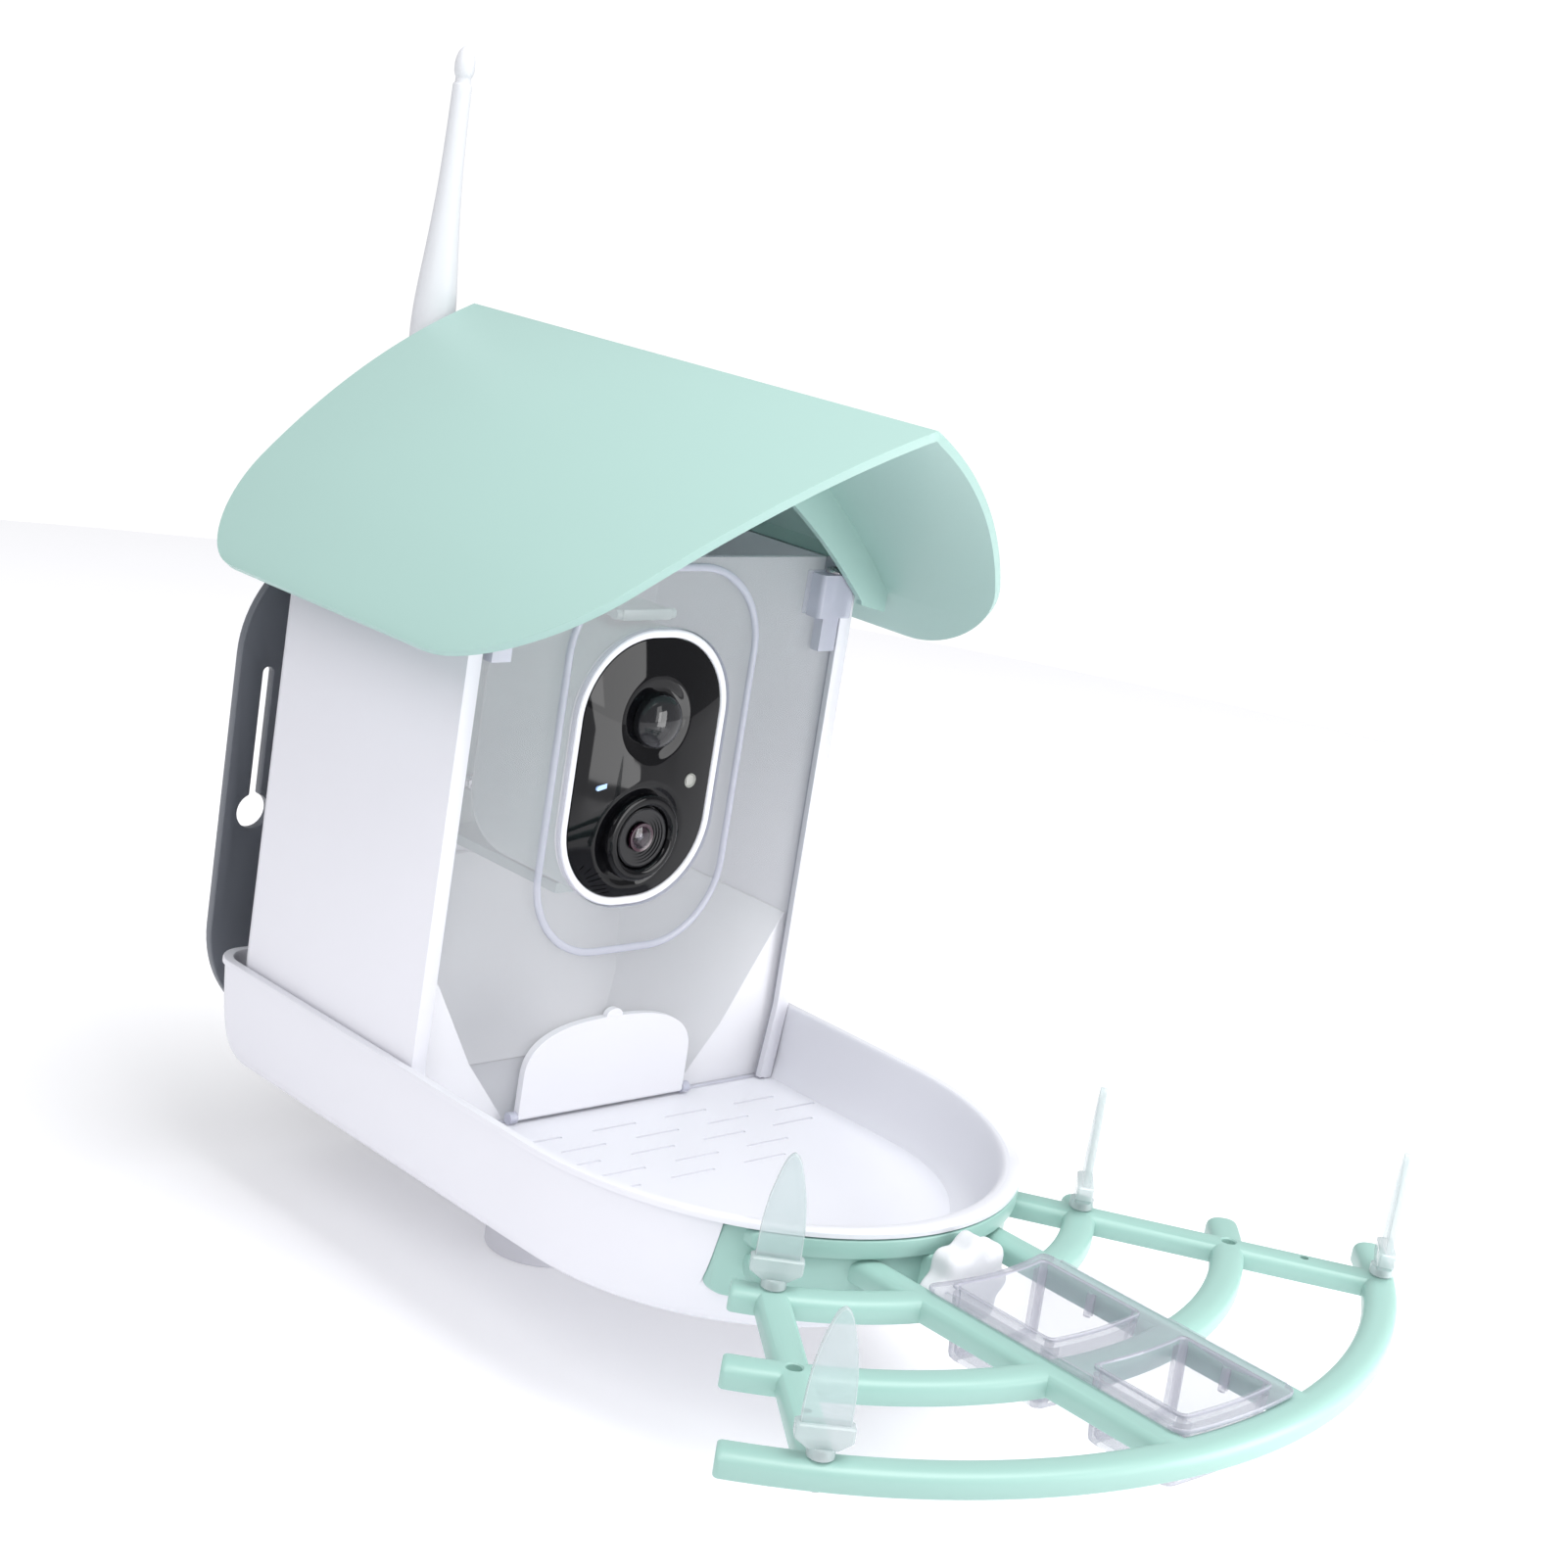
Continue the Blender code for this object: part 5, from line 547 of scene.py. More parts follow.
for side in (-1, 1):
    cutters.append(rod("screw_hole", SCREW_HOLE, 0.2277, 0.2400, (side * BLOCK_X, BLOCK_Y, 0), sides=24))
    cutters.append(rod("pocket", 0.0035, BLOCK_HIGH, 0.2450, (side * BLOCK_X, BLOCK_Y, 0), sides=24))
    low, high = sorted((side * 0.0320, side * 0.0379))
    cutters.append(rod("pin_hole", 0.0012, low, high, (0, GATE_Y, GATE_Z), "X", 16))
carved(panel, *cutters)
eased(panel, 0.00025, 2)
fitted(panel, hazy_sheet, "clear_plastic", "body", "front_panel", smooth=30)


def panel_edge(face):
    """Every face but those of the sheet's two flat sides."""
    off_sheet = min(abs(face.center.y - PANEL_FRONT), abs(face.center.y - PANEL_BACK))
    return abs(face.normal.y) <= 0.97 or off_sheet >= 0.0003


edged(panel, lilac_edge, panel_edge)
for number in (1, 2):
    drive_screw(f"panel_screw_{number}", "Z", -1, "body")


# Seed gate. A white domed flap with a thumb nub on top and a round barrel along its foot, whose ends are pins in
# the panel's lugs. It falls forward to let the seed out.
GATE_HALF, GATE_TALL, GATE_THICK = 0.0350, 0.03055, 0.0025
GATE_SQUARE = 2 / 2.6
NUB_HALF, NUB_TALL = 0.0034, 0.0026
dome = [(GATE_HALF, 0)] + [(GATE_HALF * math.copysign(abs(math.cos(a)) ** GATE_SQUARE, math.cos(a)),
                            GATE_TALL * (0.42 + 0.58 * math.sin(a) ** GATE_SQUARE)) for a in evenly(math.pi, 48)]
dome = [(x, z + GATE_Z) for x, z in dome + [(-GATE_HALF, 0)]]
gate = extruded("gate_moulding", dome, GATE_Y - GATE_THICK / 2, GATE_Y + GATE_THICK / 2, at_depth)
nub = arc(0, GATE_Z + GATE_TALL, NUB_HALF, NUB_TALL, 0, math.pi, 20)
nub += [(-NUB_HALF, GATE_Z + GATE_TALL - 0.0005), (NUB_HALF, GATE_Z + GATE_TALL - 0.0005)]
welded(gate, rod("barrel", GATE_THICK / 2, -GATE_HALF, GATE_HALF, (0, GATE_Y, GATE_Z), "X"),
       rod("pin", 0.0009, -0.0376, 0.0376, (0, GATE_Y, GATE_Z), "X", 20),
       extruded("nub", nub, GATE_Y - 0.0010, GATE_Y + 0.0010, at_depth))
eased(gate, 0.0006, 3, 50)
gate_white = plastic("gate_white", (0.775, 0.775, 0.815), (0.76, 0.76, 0.80), 0.30)
fitted(gate, gate_white, "white_plastic", "gate", "seed_gate", smooth=45)


# Roof. One mint moulding: a thin gabled sheet that curves down to rounded eaves, with its front edge raked back
# from the ridge. An arched rib below each end and a rib along each side drop it over the house's walls.
ROOF_HALF = 0.1027
RIDGE_Z = 0.3016
ROOF_SHEET = 0.0028
ROOF_FALL = 0.0833
ROOF_CURVE = (0.531, 0.339, 0.130)
EAVE_ROUND, EAVE_TURN_FRONT, EAVE_TURN_REAR = 0.0260, 0.0360, 0.0280
PEAK_REACH, REAR_REACH = 0.0969, 0.0253
RAKE, RAKE_BOW = 0.0547, 0.154
RIB_HALF, RIB_DEEP = 0.0880, 0.0198
RIB_THICK, RIB_SUNK = 0.0024, 0.0005
ARCH_HALF, ARCH_LEG = 0.0373, 0.0762
SIDE_RIB = (0.0768, 0.0790)


def roof_drop(x):
    """How far the roof has come down from its ridge at a place across it."""
    share = abs(x) / ROOF_HALF
    return ROOF_FALL * sum(part * share ** (k + 1) for k, part in enumerate(ROOF_CURVE))


def roof_slope(x):
    share = abs(x) / ROOF_HALF
    return ROOF_FALL / ROOF_HALF * sum((k + 1) * part * share ** k for k, part in enumerate(ROOF_CURVE))


def roof_under(x):
    return RIDGE_Z - roof_drop(x) - ROOF_SHEET * math.sqrt(1 + roof_slope(x) ** 2)


def roof_reach(x):
    """The sheet's front and rear edge at a place across it."""
    drop = roof_drop(x) / ROOF_FALL
    front = HOUSE_FRONT - PEAK_REACH + RAKE * ((1 - RAKE_BOW) * drop + RAKE_BOW * drop ** 2)
    into = min(1, max(0, abs(x) - ROOF_HALF + EAVE_ROUND) / EAVE_ROUND)
    turn = 1 - math.sqrt(1 - into ** 2)
    return front + turn * EAVE_TURN_FRONT, HOUSE_BACK + REAR_REACH - turn * EAVE_TURN_REAR


def rib_outline(steps=40):
    """An end rib: it follows the sheet above, and is cut to an arch below with a leg at each side."""
    outer = []
    for k in range(steps + 1):
        x = RIB_HALF * (1 - 2 * k / steps)
        outer.append((x, roof_under(x) + RIB_SUNK))
    knee = RIDGE_Z - roof_drop(ARCH_HALF) - RIB_DEEP
    rise = roof_slope(ARCH_HALF) * ARCH_HALF / 2
    inner = [(ARCH_HALF * k / 12, knee + rise * (1 - (k / 12) ** 2)) for k in range(12)]
    for k in range(13):
        x = ARCH_HALF + (ARCH_LEG - ARCH_HALF) * k / 12
        inner.append((x, RIDGE_Z - roof_drop(x) - RIB_DEEP))
    inner.append((0.0765, HOUSE_TOP - 0.0119))
    leg = HOUSE_TOP - 0.0144
    return outer + [(-RIB_HALF, leg)] + [(-x, z) for x, z in reversed(inner)] + inner[1:] + [(RIB_HALF, leg)]


columns = [(ROOF_HALF - EAVE_ROUND) * k / 24 for k in range(25)]
columns += [ROOF_HALF - EAVE_ROUND + EAVE_ROUND * math.sin(math.pi / 2 * k / 18) for k in range(1, 19)]
rings = []
for x in [-x for x in reversed(columns[1:])] + columns:
    slope = math.copysign(roof_slope(x), x) if x else 0
    length = math.sqrt(1 + slope ** 2)
    front, rear = roof_reach(x)
    z = RIDGE_Z - roof_drop(x)
    under = (x - ROOF_SHEET * slope / length, z - ROOF_SHEET / length if x else roof_under(0))
    rings.append([(x, front, z), (x, rear, z), (under[0], rear, under[1]), (under[0], front, under[1])])
roof_piece = skinned("roof_moulding", rings)
eased(roof_piece, 0.0007, 3, 40)
ribs = [extruded("rib", rib_outline(), front, rear, at_depth)
        for front, rear in ((-0.0260, RIB_THICK - 0.0260), (0.0797 - RIB_THICK, 0.0797))]
for side in (-1, 1):
    plan = [(x, HOUSE_TOP + SEAT_GAP) for x in SIDE_RIB] + [(x, roof_under(x) + RIB_SUNK) for x in reversed(SIDE_RIB)]
    ribs.append(extruded("side_rib", [(side * x, z) for x, z in plan], -0.0241, 0.0778, at_depth))
welded(roof_piece, *ribs)
roof_mint = plastic("roof_mint_satin", (0.365, 0.54, 0.50), (0.355, 0.525, 0.487), 0.42, 0.0005, 0.05, 0.4)
fitted(roof_piece, roof_mint, "roof_mint", "roof", "roof", smooth=30)


# Rear mounting plate. A dark grey moulded plate that goes on a wall or a fence: two keyholes for wall screws, and
# four round standoffs that hold the house clear of it.
plate_low, plate_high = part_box("rear_plate")
PLATE_HALF, PLATE_CORNER = 0.0780, 0.0400
PLATE_FRONT, PLATE_BACK = 0.0993, 0.1025
SLOT_RADIUS, MOUTH_RADIUS, SLOT_LONG = 0.0019, 0.0060, 0.0480
KEYHOLE_X, KEYHOLE_UP = 0.0667, 0.0792
STANDOFF_X, STANDOFF_UP, STANDOFF_DOWN = 0.0410, 0.0545, 0.0140
plate_half_tall, plate_middle = (plate_high.z - plate_low.z) / 2, (plate_low.z + plate_high.z) / 2
plate = extruded("plate_moulding", round_cornered(PLATE_HALF, plate_half_tall, PLATE_CORNER, 20, 0, plate_middle),
                 PLATE_FRONT, PLATE_BACK, at_depth)
standoffs = [(x, z) for x in (-STANDOFF_X, STANDOFF_X)
             for z in (plate_low.z + STANDOFF_UP, plate_high.z - STANDOFF_DOWN)]
keyholes = []
mouth = math.acos(SLOT_RADIUS / MOUTH_RADIUS)
for side in (-1, 1):
    x, z = side * KEYHOLE_X, plate_low.z + KEYHOLE_UP
    outline = arc(x, z, MOUTH_RADIUS, MOUTH_RADIUS, mouth, -math.pi - mouth, 40)
    outline += arc(x, z + SLOT_LONG, SLOT_RADIUS, SLOT_RADIUS, math.pi, 0, 16)
    keyholes.append(extruded("keyhole", outline, PLATE_FRONT - 0.0030, PLATE_BACK + 0.0030, at_depth))
carved(plate, *keyholes)
eased(plate, 0.0008, 3, 50)
profile = [(0, 0.0770), (0.0046, 0.0770), (0.0050, 0.0774), (0.0050, 0.0975), (0.0056, 0.0990), (0.0066, 0.0996),
           (0, 0.0998)]
welded(plate, *[spun("standoff", profile, (x, 0, z), "Y", 40) for x, z in standoffs])
carved(plate, *[rod("screw_hole", SCREW_HOLE, 0.0737, 0.0825, (x, 0, z), "Y", 20) for x, z in standoffs])
dark_grey = plastic("dark_grey_moulding", (0.135, 0.145, 0.165), (0.115, 0.125, 0.145), 0.34, 0.0003, 0.06)
fitted(plate, dark_grey, "grey_plastic", "body", "rear_plate", smooth=30)


# Camera bracket. A pale moulded spine screwed to the back wall, with a shelf under the camera and a gusseted arm
# above it, whose two nubs catch in the camera's top. Its dark grey-green colour is painted roof shade and painted
# mint light.
# Painted roof shade: the white-ish plastic of the bracket and shell is given a dark grey-green, standing in for the
# roof's shade and the mint light it throws down.
pale_plastic = plastic("pale_moulding_painted_roof_shade", (0.36, 0.46, 0.44), (0.345, 0.44, 0.42), 0.36)
bracket = moulding_of("camera_bracket", "bracket_moulding", 0.0006, 3)
fitted(bracket, pale_plastic, "pale_plastic", "body", "camera_bracket")


# Camera shell. The pale plastic rear shell of the camera unit, open at the front and round at the back, with a
# seat for the port's flap and a hole for the power button. It sits between the bracket's shelf and its two nubs.
SHELL_FRONT, SHELL_BACK = -0.0138, 0.0362
SHELL_OUTER, SHELL_INNER = 0.0009, 0.0031
SHELL_WALL, SHELL_ROUND = 0.0022, 0.0080
BUTTON_HOLE = 0.0035
FLAP_SEAT = 0.0018
RING_HALF_WIDE, RING_HALF_TALL, RING_CORNER = 0.0314, 0.04575, 0.0285


def camera_ring(inset, y, steps=24):
    """An oval round the camera, drawn in from the outer edge of its ring."""
    corner = max(RING_CORNER - inset, 0.0002)
    return at_depth(round_cornered(RING_HALF_WIDE - inset, RING_HALF_TALL - inset, corner, steps, 0, CAMERA_Z), y)


rings = [camera_ring(SHELL_OUTER + SHELL_ROUND, SHELL_BACK - SHELL_WALL),
         camera_ring(SHELL_INNER, SHELL_BACK - SHELL_ROUND), camera_ring(SHELL_INNER, SHELL_FRONT),
         camera_ring(SHELL_OUTER, SHELL_FRONT)]
rings += [camera_ring(*place) for place in arc(SHELL_OUTER + SHELL_ROUND, SHELL_BACK - SHELL_ROUND, -SHELL_ROUND,
                                               SHELL_ROUND, 0, math.pi / 2, 10)]
shell = skinned("camera_shell", rings)
button_low, button_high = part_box("power_button")
button_z = (button_low.z + button_high.z) / 2
carved(shell, rod("button_hole", BUTTON_HOLE, 0.0310, 0.0392, (0, 0, button_z), "Y"),
       block("port", (-0.0046, 0.0310, 0.15445), (0.0046, 0.0392, 0.15805)),
       block("flap_seat", (-0.0078, SHELL_BACK - FLAP_SEAT, 0.15145), (0.0078, 0.0392, 0.16105)))
# The shell's dark grey-green is painted roof shade and painted mint light, as on the bracket.
fitted(shell, pale_plastic, "pale_plastic", "camera", "camera_housing", smooth=30)


# Camera ring. A glossy white plastic oval, rounded at the front, that is pressed on the shell's front edge and
# frames the face.
BEZEL_FRONT, BEZEL_BACK = -0.0171, -0.0141
BEZEL_WIDE, BEZEL_ROUND = 0.0028, 0.0010
turn_y = BEZEL_FRONT + BEZEL_ROUND
section = [(0, BEZEL_BACK)] + arc(BEZEL_ROUND, turn_y, -BEZEL_ROUND, -BEZEL_ROUND, 0, math.pi / 2, 6)
section += arc(BEZEL_WIDE - BEZEL_ROUND, turn_y, BEZEL_ROUND, BEZEL_ROUND, -math.pi / 2, 0, 6)
section.append((BEZEL_WIDE, BEZEL_BACK))
bezel = skinned("bezel_ring", [camera_ring(*place) for place in section], closed=True)
bezel_white = plastic("bezel_white", (0.86, 0.86, 0.90), (0.84, 0.84, 0.88), 0.24, 0.0006, 0.01)
fitted(bezel, bezel_white, "white_plastic", "camera", "camera_bezel", smooth=60)


# Camera face. A glossy black domed window that fills the ring, dished round the motion sensor and round the lens,
# with seven fine slots cut beside the lens for the sound.
FACE_EDGE, FACE_BACK = -0.0167, -0.0145
FACE_HALF_WIDE, FACE_HALF_TALL, FACE_CORNER = 0.0283, 0.04265, 0.0254
FACE_DOME = 0.0034
SLOT_HALF = 0.00016
PIR_Z = CAMERA_Z + 0.01665
LENS_Z = CAMERA_Z - 0.02195
DETAIL_Z = CAMERA_Z - 0.0043


def dish(x, z):
    """How far the face is dished at a place, round the sensor and round the lens."""
    deep = 0
    for centre, inner, outer, depth in ((PIR_Z, 0.0092, 0.0150, 0.0010), (LENS_Z, 0.0145, 0.0185, 0.0009)):
        share = min(1, max(0, (outer - math.hypot(x, z - centre)) / (outer - inner)))
        deep += depth * share * share * (3 - 2 * share)
    return deep


rings = [camera_ring(SHELL_INNER, FACE_BACK, 32)]
for k in range(60):
    share = 1 - k / 61
    outline = round_cornered(FACE_HALF_WIDE * share, FACE_HALF_TALL * share, FACE_CORNER * share, 32, 0, CAMERA_Z)
    drop = -FACE_DOME * (1 - share ** 2)
    rings.append([(x, FACE_EDGE + drop + dish(x, z) * min(1, (1 - share) * 9), z) for x, z in outline])
face = skinned("face_window", rings)
SLOTS = ((-0.0214, 0.1407, -0.0202, 0.1421), (-0.0192, 0.1391, -0.0172, 0.1410), (-0.0183, 0.1375, -0.0138, 0.1392),
         (-0.0171, 0.1362, -0.0120, 0.1374), (-0.0159, 0.1346, -0.0095, 0.1349), (-0.0150, 0.1331, -0.0092, 0.1334),
         (-0.0134, 0.1318, -0.0078, 0.1321))
cutters = []
for x, z, end_x, end_z in SLOTS:
    along = Vector((end_x - x, end_z - z)).normalized() * SLOT_HALF
    outline = [(x + along.y, z - along.x), (end_x + along.y, end_z - along.x),
               (end_x - along.y, end_z + along.x), (x - along.y, z + along.x)]
    share = math.hypot(x / FACE_HALF_WIDE, (z - CAMERA_Z) / FACE_HALF_TALL)
    front = FACE_EDGE - FACE_DOME * (1 - min(1, share) ** 2)
    cutters.append(extruded("slot", outline, front - 0.0030, front + 0.0002, at_depth))
carved(face, *cutters)
black_gloss = plastic("black_window", (0.004, 0.004, 0.005), (0.003, 0.003, 0.004), 0.035, 0.003, 0.0, 0.20)
fitted(face, black_gloss, "black_gloss", "camera", "camera_face", smooth=50)


# Motion sensor. A smoked plastic dome with faint facets, moulded in one with a flange. It goes through the face's
# upper dish from behind, and the flange holds it there.
PIR_RADIUS, PIR_FLANGE, PIR_TALL, PIR_SHOULDER = 0.0090, 0.0102, 0.0042, -0.01995
profile = [(0, -0.0133), (PIR_FLANGE, -0.0133), (PIR_FLANGE, -0.0142), (PIR_RADIUS, -0.0142)]
profile += arc(0, PIR_SHOULDER, PIR_RADIUS, -PIR_TALL, 0, math.pi / 2, 20)
dome_piece = spun("sensor_dome", profile, (0, 0, PIR_Z), "Y", 72)
smoked_dome = plastic("smoked_dome", (0.020, 0.020, 0.023), (0.014, 0.014, 0.016), 0.06, 0.0009, 0.05, 0.4)
fitted(dome_piece, smoked_dome, "lens_plastic", "camera", "pir_lens", smooth=50)


# Lens ring. A polished black plastic ring, rounded at both edges, that is pressed into the face's lower dish and
# frames the lens.
RING_FRONT = -0.0214
profile = [(0.0104, RING_FRONT + 0.0018), (0.0107, RING_FRONT + 0.0008), (0.0112, RING_FRONT + 0.0002),
           (0.0117, RING_FRONT), (0.0132, RING_FRONT), (0.0137, RING_FRONT + 0.0001), (0.0142, RING_FRONT + 0.0004),
           (0.0145, RING_FRONT + 0.0009), (0.0145, FACE_BACK), (0.0104, FACE_BACK)]
lens_ring = spun("lens_surround", profile, (0, 0, LENS_Z), "Y", 96, hollow=True)
fitted(lens_ring, black_gloss, "black_gloss", "camera", "lens_ring", smooth=40)


# Lens barrel. A satin black moulding inside the ring, whose front goes in by five fine steps, like a funnel, to
# keep stray light off the glass. It stands on the main board.
LENS_FRONT, BARREL_BACK = RING_FRONT + 0.0008, -0.0088
BARREL_RADIUS = 0.0101
STEP_START, STEP_WIDE, STEP_RISE = 0.0051, 0.00085, 0.00040
FUNNEL_DEEP = 0.0022
profile = [(0, LENS_FRONT + FUNNEL_DEEP), (STEP_START, LENS_FRONT + FUNNEL_DEEP)]
for k in range(5):
    riser = LENS_FRONT + FUNNEL_DEEP - STEP_RISE * (k + 1)
    profile += [(STEP_START + STEP_WIDE * k, riser), (STEP_START + STEP_WIDE * (k + 1), riser - 0.00003)]
profile += [(0.0096, LENS_FRONT), (0.0100, LENS_FRONT + 0.0003), (BARREL_RADIUS, LENS_FRONT + 0.0010),
            (BARREL_RADIUS, BARREL_BACK), (0, BARREL_BACK)]
barrel = spun("lens_funnel", profile, (0, 0, LENS_Z), "Y", 96)
barrel_black = plastic("barrel_black", (0.018, 0.018, 0.020), (0.010, 0.010, 0.012), 0.22, 0.0004, 0.03, 0.25)
fitted(barrel, barrel_black, "black_gloss", "camera", "lens_barrel", smooth=25)


# Lens glass. A small glass with a rounded, coated front, held in the barrel over a dark iris that steps down
# to a hole in the middle. The iris's dark red and purple is a painted reflection of the lens coating.
GLASS_RADIUS, GLASS_EDGE, GLASS_DOME = 0.0048, 0.0006, 0.0014
profile = [(0, 0.0006), (0.0010, 0.0006), (0.0013, 0.0001), (0.0030, -0.0004), (0.0034, -0.0009), (0.0047, -0.0011),
           (0.0047, -0.0002), (0, 0.0008)]
iris = spun("lens_iris", profile, (0, LENS_FRONT + 0.0014, LENS_Z), "Y", 64)
# Painted reflection: the iris's dark red, drifting to purple, stands in for the red-purple glint of the lens coating.
iris_painted_coating_reflection = plastic("iris_painted_coating_reflection", (0.060, 0.006, 0.010), (0.018, 0.010, 0.030), 0.20, 0.0008, 0.0, 0.6)
fitted(iris, iris_painted_coating_reflection, "lens_glass", "camera", smooth=30)
glass_back = LENS_FRONT + 0.0019
profile = [(0, glass_back), (GLASS_RADIUS, glass_back)]
profile += arc(0, glass_back - GLASS_EDGE, GLASS_RADIUS, -GLASS_DOME, 0, math.pi / 2, 16)
glass = spun("lens_cover", profile, (0, 0, LENS_Z), "Y", 64)
coated_glass = clear("coated_glass", (0.70, 0.68, 0.80), 0.01, grain=0.003, relief=0.0, bend=1.5)
fitted(glass, coated_glass, "lens_glass", "camera", "lens_glass", smooth=50)


# Light window. A slim slanted light guide of pale blue plastic, let into the face above the lens, at its left. It
# glows when the camera is awake.
DETAIL_X = 0.0182
WINDOW_SLANT = 0.22
outline = round_cornered(0.0026, 0.0008, 0.0008, 8, -DETAIL_X, DETAIL_Z)
window = extruded("light_window", outline, -0.0189, FACE_BACK, at_depth)
for vertex in window.data.vertices:
    vertex.co.z += (vertex.co.x + DETAIL_X) * WINDOW_SLANT
pale_blue = plastic("pale_blue_window", (0.42, 0.60, 0.92), (0.38, 0.56, 0.90), 0.25, 0.001, 0.0)
glowing(pale_blue, (0.42, 0.62, 1.0), 0.25)
fitted(window, pale_blue, "led_window", "camera", "status_led")


# Light sensor. A round sensor under a clear cap, in a bright collar that is pressed into the face above the lens,
# at its right.
profile = [(0, FACE_BACK), (0.0024, FACE_BACK), (0.0024, -0.0191), (0.0022, -0.0193), (0.0020, -0.0192),
           (0.0018, -0.0189), (0.0010, -0.01895), (0, -0.0190)]
eye = spun("sensor_eye", profile, (DETAIL_X, 0, DETAIL_Z), "Y", 40)
eye_pale = plastic("eye_pale", (0.50, 0.50, 0.47), (0.22, 0.22, 0.20), 0.30, 0.0012, 0.05, 0.8)
fitted(eye, eye_pale, "lens_glass", "camera", "light_sensor", smooth=30)


# Main board. A green glass-fibre circuit board that stands upright across the shell, behind the face, and carries
# the lens barrel and the sensors.
board = moulding_of("main_board", "board_sheet", 0.0002)
solder_mask = plastic("solder_mask", (0.015, 0.15, 0.06), (0.010, 0.11, 0.045), 0.30, 0.0012, 0.12)
fitted(board, solder_mask, "board_green", "camera", "main_board")


# Battery cells. Two round steel cells in blue shrink sleeves that stand side by side behind the board, each with a
# raised end at the top.
cell_sleeve = plastic("cell_sleeve", (0.03, 0.12, 0.36), (0.025, 0.10, 0.31), 0.30, 0.002, 0.04)
for number in (1, 2):
    low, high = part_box(f"battery_cell_{number}")
    middle = (low + high) / 2
    long = high.z - low.z
    profile = [(0, 0), (0.0070, 0), (0.0074, 0.0004), (0.0088, 0.0004), (0.0091, 0.0008), (0.0091, long - 0.0020),
               (0.0087, long - 0.0012), (0.0055, long - 0.0012), (0.0028, long - 0.0010), (0.0026, long), (0, long)]
    cell = spun(f"sleeved_cell_{number}", profile, (middle.x, middle.y, low.z), sides=48)
    fitted(cell, cell_sleeve, "cell_blue", "camera", f"battery_cell_{number}", smooth=30)


# Speaker. A small round speaker on the back of the board, with a matte black paper cone and a rolled surround
# that lets it move.
low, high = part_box("speaker")
middle = (low + high) / 2
profile = [(0, low.y + 0.0012), (0.0030, low.y + 0.0006), (0.0062, low.y + 0.0014), (0.0070, low.y + 0.0004),
           (0.0080, low.y), (0.0090, low.y + 0.0003), (0.0090, high.y), (0, high.y)]
cone = spun("speaker_cone", profile, (middle.x, 0, middle.z), "Y", 48)
matte_black = plastic("matte_black", (0.012, 0.012, 0.013), (0.009, 0.009, 0.010), 0.55, 0.0003, 0.10)
fitted(cone, matte_black, "black_matte", "camera", "speaker", smooth=30)


# Power button. A round push button moulded in soft grey rubber, with a flange that keeps it in the shell's back.
# It is pushed through the hole from inside, and goes in when pressed.
profile = [(0, 0.0327), (0.0042, 0.0327), (0.0042, 0.0337), (0.0032, 0.0337), (0.0032, 0.0371), (0.0029, 0.0375),
           (0.0024, 0.0376), (0.0014, 0.0375), (0, 0.0374)]
button = spun("button_cap", profile, (0, 0, button_z), "Y", 48)
soft_grey = plastic("soft_grey", (0.155, 0.165, 0.18), (0.14, 0.15, 0.165), 0.55, 0.0003, 0.08)
fitted(button, soft_grey, "grey_plastic", "button", "power_button", smooth=30)


# Port flap. A soft grey moulded cover that lies in the seat in the shell's back, over the charging port. It turns
# up about its rounded top edge.
flap = moulding_of("usb_flap", "flap_moulding", 0.0003, 2)
fitted(flap, soft_grey, "grey_plastic", "port_flap", "usb_flap")


# Antenna rod. One white moulding, widest near its middle, that slims to a neck, a groove and a small ball at its
# tip. Its foot is forked, and is held by a pin that it tilts about.
TILT = Vector((-0.0090, 0.1115, 0.2420))
ROD_FOOT, ROD_LONG, ROD_RADIUS = 0.2370, 0.1475, 0.0073
FORK_HALF, PIN_BORE = 0.0025, 0.0013
ROD_SHARES = ((0.012, 0.73), (0.200, 0.86), (0.345, 1.00), (0.405, 0.99), (0.455, 0.93), (0.550, 0.76), (0.640, 0.62),
              (0.720, 0.53), (0.820, 0.47), (0.910, 0.44))
TIP_SHARES = ((0.933, 0.41), (0.945, 0.46), (0.965, 0.45), (0.985, 0.33), (0.997, 0.12))
profile = [(0, 0), (0.60, 0), (0.66, 0.003)] + [(width, share) for share, width in flowing(ROD_SHARES, 5)]
profile += [(0.43, 0.913), (0.37, 0.916), (0.36, 0.919), (0.36, 0.926), (0.37, 0.930)]
profile += [(width, share) for share, width in flowing(TIP_SHARES, 4)] + [(0, 1)]
paddle = spun("antenna_rod", [(ROD_RADIUS * width, ROD_FOOT + ROD_LONG * share) for width, share in profile],
              (TILT.x, TILT.y, 0), sides=56)
carved(paddle, block("fork", (TILT.x - FORK_HALF, 0.0900, 0.2300), (TILT.x + FORK_HALF, 0.1300, TILT.z + 0.0053)),
       rod("pin_bore", PIN_BORE, -0.0051, 0.0051, TILT, "X", 20))
antenna_white = plastic("antenna_white", (0.68, 0.69, 0.72), (0.665, 0.675, 0.705), 0.42, 0.0003, 0.05)
fitted(paddle, antenna_white, "white_plastic", "antenna", "antenna_paddle", smooth=30)


# Antenna pin. A polished steel pin with eased ends, pressed through the rod's fork and the tongue of the sleeve.
# The rod tilts about it.
steel = metal("polished_steel", (0.58, 0.58, 0.60), 0.26)
profile = [(0, -0.0048), (0.0008, -0.0048), (0.0010, -0.0046), (0.0010, 0.0046), (0.0008, 0.0048), (0, 0.0048)]
pin = spun("tilt_pin", profile, TILT, "X", 24)
fitted(pin, steel, "steel", "antenna", "antenna_pin", smooth=30)


